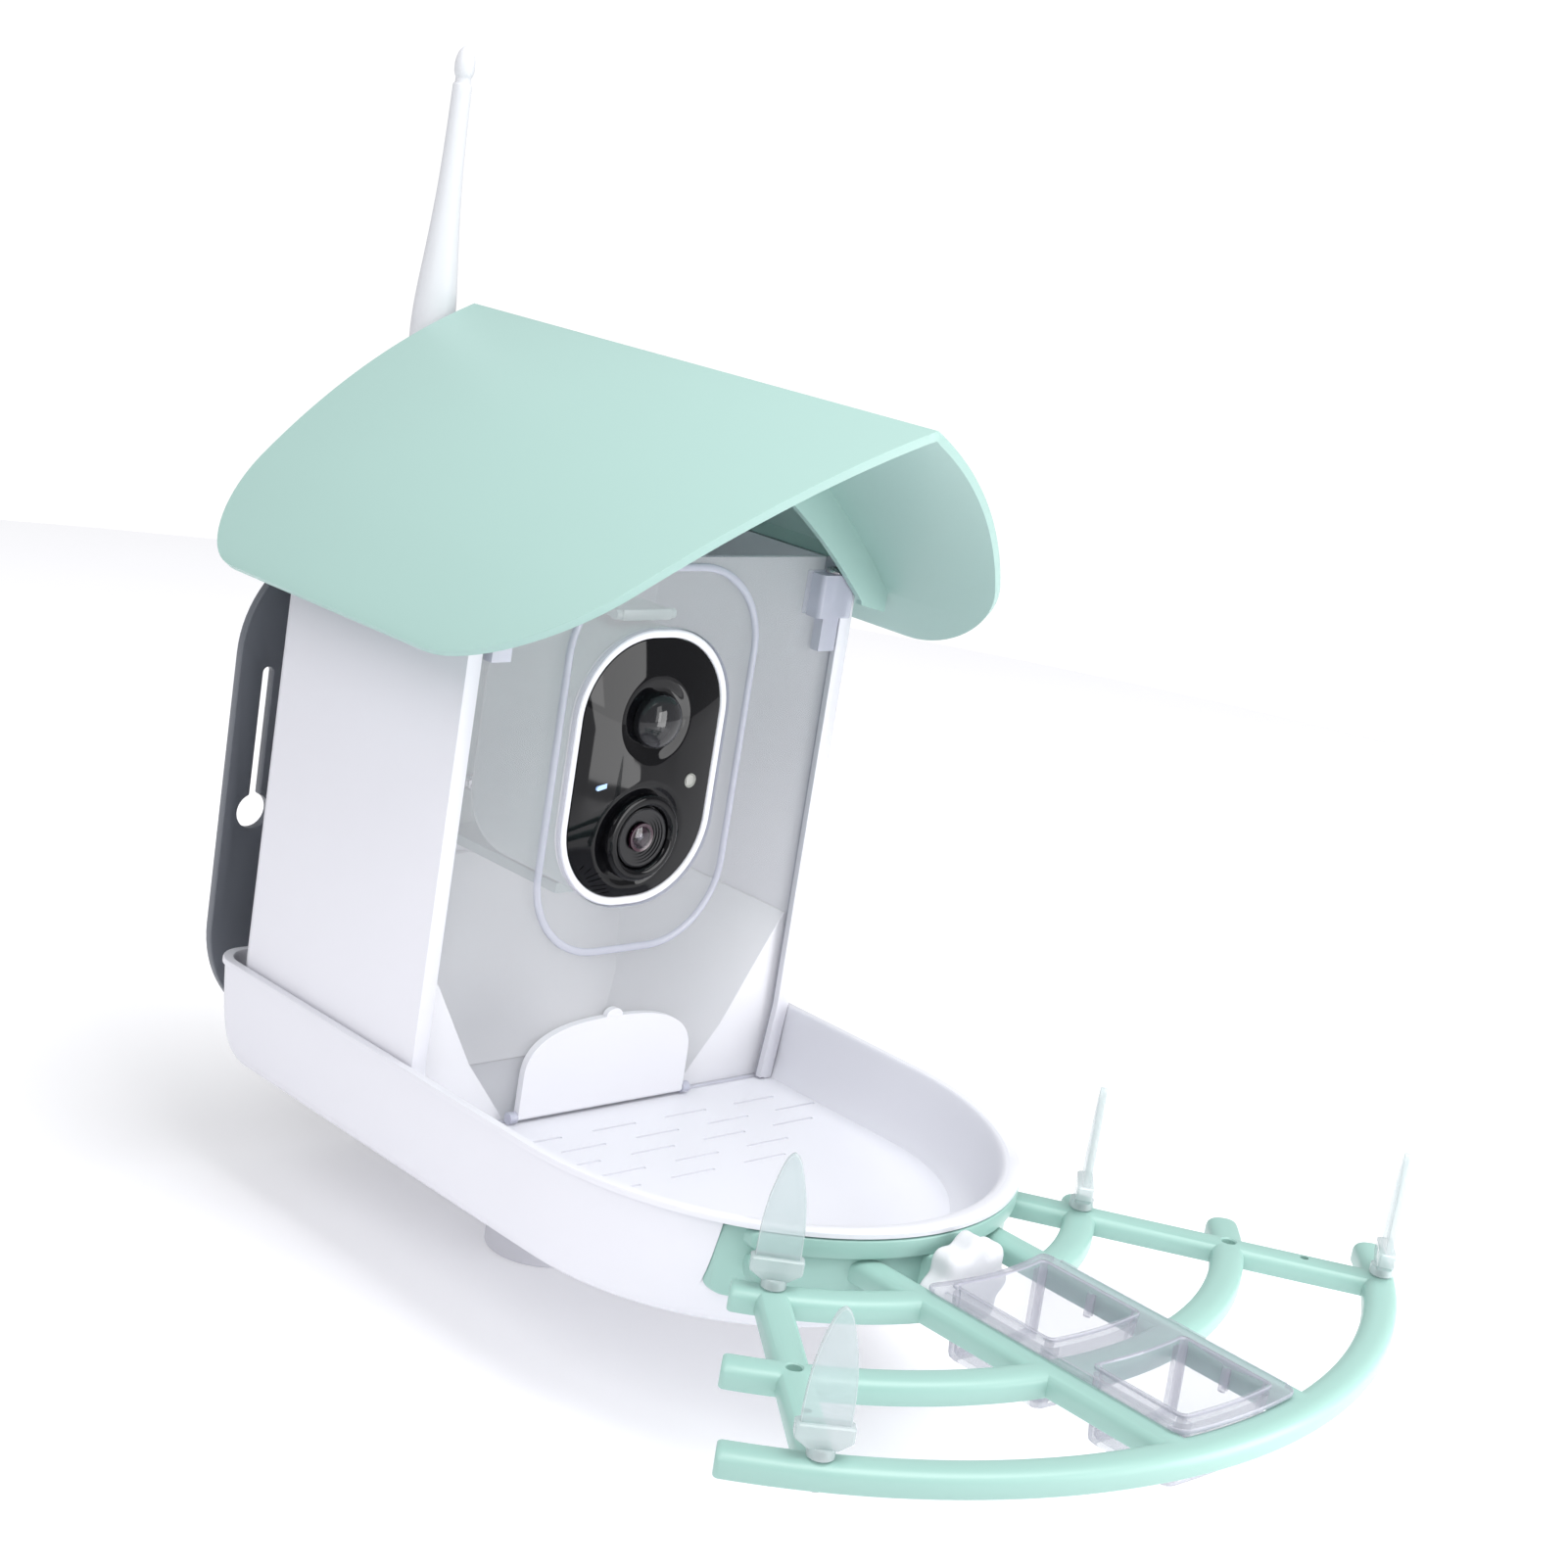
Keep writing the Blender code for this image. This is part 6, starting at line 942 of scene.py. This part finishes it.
# Antenna sleeve. A white turned sleeve with a groove round it and a flat tongue for the pin. It turns on the
# brass socket that it is pushed over.
TONGUE_HALF, TONGUE_ROUND = 0.0022, 0.0047
profile = [(0, 0.0872), (0.0033, 0.0872), (0.0033, 0.0793), (0.0051, 0.0793), (0.0055, 0.0797), (0.0055, 0.0840),
           (0.0052, 0.0843), (0.0052, 0.0848), (0.0055, 0.0851), (0.0055, 0.0994), (0.0050, 0.1000), (0, 0.1000)]
sleeve = spun("swivel_sleeve", profile, (TILT.x, 0, TILT.z), "Y", 56)
tongue = arc(TILT.y, TILT.z, TONGUE_ROUND, TONGUE_ROUND, -math.pi / 2, math.pi / 2, 24)
tongue += [(0.0990, TILT.z + TONGUE_ROUND), (0.0990, TILT.z - TONGUE_ROUND)]
welded(sleeve, extruded("tongue", tongue, TILT.x - TONGUE_HALF, TILT.x + TONGUE_HALF, at_side))
carved(sleeve, rod("pin_bore", PIN_BORE, -0.0040, 0.0040, TILT, "X", 20))
fitted(sleeve, antenna_white, "white_plastic", "swivel", "antenna_swivel", smooth=30)


# Antenna socket and nut. A turned brass socket that goes through the gable's back, and the hexagon nut that holds
# it there.
brass = metal("turned_brass", (0.70, 0.49, 0.20), 0.30)
fitted(moulding_of("antenna_socket", "threaded_socket", 0.0002), brass, "brass", "body", "antenna_socket")
fitted(moulding_of("antenna_nut", "hexagon_nut", 0.0003), brass, "brass", "body", "antenna_nut")


# Perch. One mint moulding: three arcs, two centre beams and two spokes with round crowns, on a curved band that
# sits in the tray's recess. The spokes are drilled for the spikes, and the band has a boss for the knob's stud.
PERCH_Z = 0.0740
ARC_CENTRE = -0.0960
ARC_RADII = (0.0986, 0.1441, 0.1900)
ARC_ENDS = (48.0, 47.0, 46.2)
SPOKE_ANGLES = (41.3, 39.6, 38.65)
BEAM_HALF, BEAM_DEEP, BEAM_CROWN = 0.0050, 0.0070, 0.0036
BEAM_SQUARE = 0.75
BEAM_FOOT_ROUND = 0.0009
BEAM_END = 0.0015
CENTRE_X = 0.02635
BAND_FRONT, STRIP_HALF = 0.0022, 0.0563
STUD_BORE = 0.0025


def arc_point(radius, angle, z=PERCH_Z):
    return Vector((radius * math.sin(angle), ARC_CENTRE - radius * math.cos(angle), z))


def beam_ring(point, across, deep, drawn=0.0):
    """The beam's section at a point, drawn in at its rounded ends."""
    half, foot = BEAM_HALF - drawn, drawn / 4 - deep
    crown = BEAM_CROWN * half / BEAM_HALF
    section = []
    for a in evenly(math.pi, 20):
        section.append((half * math.copysign(abs(math.cos(a)) ** BEAM_SQUARE, math.cos(a)),
                        crown * (math.sin(a) ** BEAM_SQUARE - 1) - drawn * 0.4))
    rounded = [(0, BEAM_FOOT_ROUND), (BEAM_FOOT_ROUND * 0.3, BEAM_FOOT_ROUND * 0.3), (BEAM_FOOT_ROUND, 0)]
    section += [(-half + back, foot + up) for back, up in rounded]
    section += [(half - back, foot + up) for back, up in reversed(rounded)]
    return [point + across * a + Vector((0, 0, b)) for a, b in section]


def arc_piece(radius, start, end, steps, round_start):
    """An arc between two angles, with its free ends rounded."""
    easing = [(BEAM_END * (1 - math.sin(a)) / radius, BEAM_END * (1 - math.cos(a))) for a in evenly(math.pi / 2, 6)]
    stops = [(end - back, drawn) for back, drawn in easing]
    inner = start + (easing[0][0] if round_start else 0)
    stops = [(inner + (end - easing[0][0] - inner) * k / steps, 0) for k in range(steps)] + stops
    if round_start:
        stops = [(start + back, drawn) for back, drawn in reversed(easing[1:])] + stops
    rings = []
    for angle, drawn in stops:
        outward = Vector((math.sin(angle), -math.cos(angle), 0))
        rings.append(beam_ring(arc_point(radius, angle), outward, BEAM_DEEP, drawn))
    return skinned("arc", rings)


def to_band(point, along, inset=0.0032):
    """Slides a point along a direction until it meets the middle of the band."""
    near, far = 0.0, 0.2
    for _ in range(40):
        half_way = (near + far) / 2
        x, y = point.x + along.x * half_way, point.y + along.y * half_way
        outside = (x / (TRAY_HALF - inset)) ** 2 + ((y - NOSE_START) / (NOSE_LENGTH - inset)) ** 2 > 1
        near, far = (half_way, far) if outside else (near, half_way)
    return point + along * near


def beam_to_band(start, along, deep):
    across = along.cross(Vector((0, 0, 1))).normalized()
    first = beam_ring(start, across, deep)
    return skinned("beam", [first, [to_band(point, along) for point in first]])


def band_piece(outer, inner, half, low, high, corner, ends, steps=72):
    """Part of the band between two insets and two heights, with its edges and the corners at its ends rounded."""
    rings = []
    stops = [1 - ends / half * (1 - math.sin(a)) for a in evenly(math.pi / 2, 6)]
    shares = [-s for s in reversed(stops)] + [(2 * k / steps - 1) * stops[0] for k in range(1, steps)] + stops
    for share in shares:
        into = max(0, (abs(share) - (1 - ends / half)) * half)
        drawn = ends - math.sqrt(max(0, ends ** 2 - into ** 2))
        middle, tall = (low + high) / 2, (high - low) / 2 - drawn
        depth = (inner - outer) / 2
        points = []
        for across, up in round_cornered(depth, max(tall, corner), corner, 3):
            inset = outer + depth + across
            angle = math.asin(half * share / (TRAY_HALF - inset))
            points.append((*nose_point(inset, inset, angle), middle + up))
        rings.append(points)
    return skinned("band", rings)


inner_arc, middle_arc, outer_arc = (math.radians(degrees) for degrees in ARC_ENDS)
perch = arc_piece(ARC_RADII[2], -outer_arc, outer_arc, 110, True)
perch.name = "perch_moulding"
parts = [arc_piece(ARC_RADII[1], -middle_arc, middle_arc, 90, True)]
start = math.asin(CENTRE_X / ARC_RADII[0])
right_stub, left_stub = (arc_piece(ARC_RADII[0], start, inner_arc, 24, False) for _ in range(2))
left_stub.data.transform(Matrix.Diagonal((-1, 1, 1, 1)))
left_stub.data.flip_normals()
parts += [right_stub, left_stub]
inner_end, middle_end, outer_end = (arc_point(radius, math.radians(degrees))
                                    for radius, degrees in zip(ARC_RADII, SPOKE_ANGLES))
for side in (-1, 1):
    front = ARC_CENTRE - math.sqrt(ARC_RADII[2] ** 2 - CENTRE_X ** 2)
    parts.append(beam_to_band(Vector((side * CENTRE_X, front, PERCH_Z)), Vector((0, 1, 0)), BEAM_DEEP - 0.0003))
    mirror = Vector((side, 1, 1))
    along = (inner_end * mirror - outer_end * mirror).normalized()
    parts.append(beam_to_band(outer_end * mirror, along, BEAM_DEEP - 0.0006))
parts.append(band_piece(BAND_FRONT, BAND_BACK, BAND_HALF, BAND_FOOT, BAND_TOP, 0.0005, 0.0025))
parts.append(band_piece(0, BAND_FRONT + 0.0005, STRIP_HALF, BAND_TOP - 0.0061, BAND_TOP - 0.0003, 0.0006, 0.0022))
boss = block("boss", (-0.0088, NOSE_TIP - 0.0021, BAND_FOOT + 0.0003),
             (0.0088, NOSE_TIP + 0.0050, BAND_FOOT + 0.0161))
parts.append(eased(boss, 0.0010, 3))
welded(perch, *parts)
cutters = [rod("stud_bore", STUD_BORE, NOSE_TIP - 0.0050, NOSE_TIP + 0.0090, (0, 0, KNOB_Z), "Y")]
profile = [(0, -0.0200), (0.0022, -0.0200), (0.0022, -0.0005), (0.0027, 0.0001), (0.0027, 0.0030), (0, 0.0030)]
for side in (-1, 1):
    mirror = Vector((side, 1, 1))
    cutters += [spun("spike_hole", profile, end * mirror, sides=28) for end in (inner_end, middle_end, outer_end)]
    cutters.append(rod("dimple", 0.0013, -0.0030, 0.0030, (middle_end + outer_end) / 2 * mirror, sides=20))
carved(perch, *cutters)
perch_mint = plastic("perch_mint", (0.30, 0.485, 0.44), (0.29, 0.472, 0.428), 0.34)
fitted(perch, perch_mint, "perch_mint", "perch", "perch_frame", smooth=32)


# Knob. One white moulding with eight shallow lobes for the fingers, moulded on a steel stud. Turning it clamps the
# perch on the tray.
KNOB_BACK = NOSE_TIP - 0.0024
KNOB_RADIUS, KNOB_DEEP = 0.0153, 0.0091
LOBE_DEEP = 0.0024
KNOB_SHARES = ((0, 0.88), (0.05, 0.95), (0.15, 1.0), (0.40, 1.0), (0.72, 1.0), (0.90, 0.93), (0.97, 0.82),
               (1.0, 0.66))
lobes = []
for share, width in flowing(KNOB_SHARES, 3):
    ring = []
    for angle in evenly(math.tau, 160)[:-1]:
        radius = width * (KNOB_RADIUS - LOBE_DEEP * (1 - math.cos(8 * angle)) / 2)
        ring.append((radius * math.cos(angle), KNOB_Z + radius * math.sin(angle)))
    lobes.append(at_depth(ring, KNOB_BACK - min(share, 1) * KNOB_DEEP))
lobes.append([(x * 0.55, y + 0.0006, KNOB_Z + (z - KNOB_Z) * 0.55) for x, y, z in lobes[-1]])
knob = skinned("lobed_knob", lobes)
carved(knob, rod("stud_bore", STUD_BORE, KNOB_BACK - 0.0053, KNOB_BACK + 0.0030, (0, 0, KNOB_Z), "Y"))
fitted(knob, antenna_white, "white_plastic", "knob", "star_knob", smooth=40)


# Knob's stud. A steel stud with a cut thread, held in the knob. It goes through the perch's boss into the tray's
# insert.
STUD_CREST, STUD_ROOT, STUD_PITCH = 0.0022, 0.0019, 0.0007
stud_low, stud_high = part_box("knob_stud")
profile = [(0, stud_low.y), (STUD_CREST, stud_low.y), (STUD_CREST, KNOB_BACK + 0.0010)]
for k in range(int((stud_high.y - KNOB_BACK - 0.0012) / STUD_PITCH)):
    y = KNOB_BACK + 0.0012 + STUD_PITCH * k
    profile += [(STUD_ROOT, y), (STUD_CREST, y + STUD_PITCH / 2)]
profile += [(0.0018, stud_high.y), (0, stud_high.y)]
stud = spun("threaded_stud", profile, (0, 0, KNOB_Z), "Y", 32)
fitted(stud, steel, "steel", "knob", "knob_stud", smooth=20)


# Tray's insert. A turned brass bush with two collars and a groove between them, pressed into the tray's nose to
# take the stud's thread.
insert_low, insert_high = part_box("threaded_insert")
profile = [(STUD_BORE, insert_low.y), (0.0034, insert_low.y), (0.0036, insert_low.y + 0.0002),
           (0.0036, insert_low.y + 0.0018), (0.0033, insert_low.y + 0.0020), (0.0033, insert_low.y + 0.0025),
           (0.0036, insert_low.y + 0.0027), (0.0036, insert_high.y - 0.0002), (0.0034, insert_high.y),
           (STUD_BORE, insert_high.y)]
insert = spun("knurled_insert", profile, (0, 0, KNOB_Z), "Y", 32, hollow=True)
fitted(insert, brass, "brass", "body", "threaded_insert", smooth=20)


# Cup insert. One clear moulding with two deep cups whose flange lies on the centre beams. Each cup has a raised
# rim round its mouth, round-bottomed walls and a short rib inside its far wall.
def strip_between(half, inner, outer, corner, steps=10):
    """A strip between two radii of the perch's arcs with straight sides and rounded corners."""
    points = []
    for radius, way in ((outer, 1), (inner, -1)):
        reach = math.asin(half / radius)
        points += [arc_point(radius, way * reach * (2 * k / steps - 1)) for k in range(steps + 1)]
    turned_in = []
    for before, here, after in zip(points[-1:] + points[:-1], points, points[1:] + points[:1]):
        back, on = (before - here), (after - here)
        if back.angle(-on) < math.radians(40):
            turned_in.append((here.x, here.y))
            continue
        a, b = here + back.normalized() * corner, here + on.normalized() * corner
        for k in range(7):
            t = k / 6
            spot = a * (1 - t) ** 2 + here * 2 * t * (1 - t) + b * t * t
            turned_in.append((spot.x, spot.y))
    return turned_in


SHEET_FOOT, SHEET_TOP = 0.0743, 0.0759
SHEET_HALF, SHEET_INNER, SHEET_OUTER, SHEET_CORNER = 0.0255, 0.0966, 0.1873, 0.0045
SIDE_BEAD = 0.0249
CUP_SPANS = ((0.0996, 0.1371), (0.1509, 0.1828))
CUP_HALF, CUP_RIB = 0.01985, 0.0014
CUP_LOW = SHEET_TOP - 0.0217
CUP_WALL = ((CUP_LOW, 0.0036, 0.0018), (CUP_LOW + 0.0003, 0.0026, 0.0022), (CUP_LOW + 0.0012, 0.0017, 0.0026),
            (CUP_LOW + 0.0024, 0.0014, 0.0028), (SHEET_TOP + 0.0007, 0.0001, 0.0028),
            (SHEET_TOP + 0.0010, 0.0004, 0.0026))
CUP_ROOM = ((CUP_LOW + 0.0014, 0.0040, 0.0014), (CUP_LOW + 0.0017, 0.0033, 0.0016),
            (CUP_LOW + 0.0028, 0.0027, 0.0018), (SHEET_TOP + 0.0006, 0.0014, 0.0018),
            (SHEET_TOP + 0.0011, 0.0010, 0.0020), (SHEET_TOP + 0.0040, 0.0010, 0.0020))


def cup_solids(name, rows):
    """Both cups' solids, from rows of a height, how far it is drawn in there, and its corners' reach."""
    return [skinned(name, [at_height(strip_between(CUP_HALF - inset, inner + inset, outer - inset, corner), z)
                           for z, inset, corner in rows]) for inner, outer in CUP_SPANS]


sheet = extruded("cup_moulding", strip_between(SHEET_HALF, SHEET_INNER, SHEET_OUTER, SHEET_CORNER), SHEET_FOOT,
                 SHEET_TOP)
eased(sheet, 0.0005, 3)
rims = []
for side in (-1, 1):
    plan = [(side * SIDE_BEAD * share, ARC_CENTRE - reach)
            for share, reach in ((1, 0.1010), (1, 0.1820), (0.964, 0.1820), (0.964, 0.1010))]
    rims.append(extruded("rim", plan, SHEET_TOP - 0.0006, SHEET_TOP + 0.0006))
welded(sheet, *cup_solids("cup", CUP_WALL), *rims)
carved(sheet, *cup_solids("room", CUP_ROOM))
ribs = [rod("rib", CUP_RIB, SHEET_TOP - 0.0078, SHEET_TOP - 0.0006,
            (CUP_HALF - CUP_RIB, ARC_CENTRE - (inner + outer) / 2, 0), sides=24) for inner, outer in CUP_SPANS]
welded(sheet, *ribs)
cup_clear = clear("clear_lilac", (0.47, 0.48, 0.54), 0.05, cover=0.28, through=0.0, relief=0.01)
cup_rim = clear("clear_lilac_rim", (0.42, 0.42, 0.49), 0.05, cover=0.62, through=0.0, relief=0.01)
fitted(sheet, cup_clear, "clear_plastic", "cups", "cup_insert", smooth=32)


def cup_edge(face):
    """The rims, the sheet's edge and the small faces of the cups' corners."""
    height = face.center.z
    on_rim = height > SHEET_TOP + 0.0002 or (height > SHEET_FOOT + 0.0001 and abs(face.normal.z) < 0.8)
    return (on_rim or height < SHEET_FOOT - 0.0010) and face.area < 0.00002


edged(sheet, cup_rim, cup_edge)


# Fruit spikes. Four clear leaf-shaped blades, each on a stepped block with a round collar and a pin that plugs
# into a hole in a spoke.
LEAF = ((0.0, 1.00), (0.30, 0.96), (0.55, 0.82), (0.75, 0.60), (0.90, 0.38), (0.97, 0.20), (1.0, 0.0))
LEAF_HALF, LEAF_THICK = 0.0063, 0.0022
spike_clear = clear("clear_green", (0.52, 0.62, 0.63), 0.10, cover=0.40, through=0.0, relief=0.03)
spike_edge = clear("clear_green_edge", (0.52, 0.59, 0.60), 0.08, cover=0.60, through=0.0, relief=0.03)
base = SHEET_FOOT
shoulder, tip = base + 0.0086, PERCH_Z + 0.0397
for number, (side, spoke) in enumerate(((-1, 0), (-1, 2), (1, 0), (1, 2)), 1):
    side_line = [(LEAF_HALF * width, shoulder + (tip - shoulder) * share) for share, width in flowing(LEAF, 4)]
    leaf = side_line[:-1] + [(0, tip)] + [(-x, z) for x, z in reversed(side_line[:-1])]
    spike = eased(extruded(f"leaf_spike_{number}", leaf, -LEAF_THICK / 2, LEAF_THICK / 2, at_depth), 0.0006, 2)
    step = skinned("step", [at_height(round_cornered(half, depth, 0.0008, 4), z) for half, depth, z in (
        (0.0042, 0.0022, base + 0.0027), (0.0045, 0.0025, base + 0.0031), (0.0073, 0.0025, base + 0.0050),
        (0.0074, 0.0025, base + 0.0055), (0.0074, 0.0025, shoulder), (0.0070, 0.0021, shoulder + 0.0004))])
    profile = [(0, base - 0.0090), (0.0016, base - 0.0090), (0.0019, base - 0.0086), (0.0019, base),
               (0.0033, base), (0.0036, base + 0.0003), (0.0036, base + 0.0030), (0, base + 0.0030)]
    foot = spun("foot", profile, (0, 0, 0), sides=32)
    neck = extruded("neck", round_cornered(LEAF_HALF, LEAF_THICK / 2, 0.0005, 3), base + 0.0070, shoulder + 0.0006)
    welded(spike, step, foot, neck)
    fitted(spike, spike_clear, "clear_plastic", f"spike_{number}", f"fruit_spike_{number}", smooth=30)
    edged(spike, spike_edge, lambda face: abs(face.normal.y) <= 0.95 or face.center.z <= shoulder)
    angle = side * math.radians(SPOKE_ANGLES[spoke])
    place = arc_point(ARC_RADII[spoke], angle, 0)
    spike.data.transform(Matrix.Translation(place) @ Matrix.Rotation(angle, 4, "Z"))
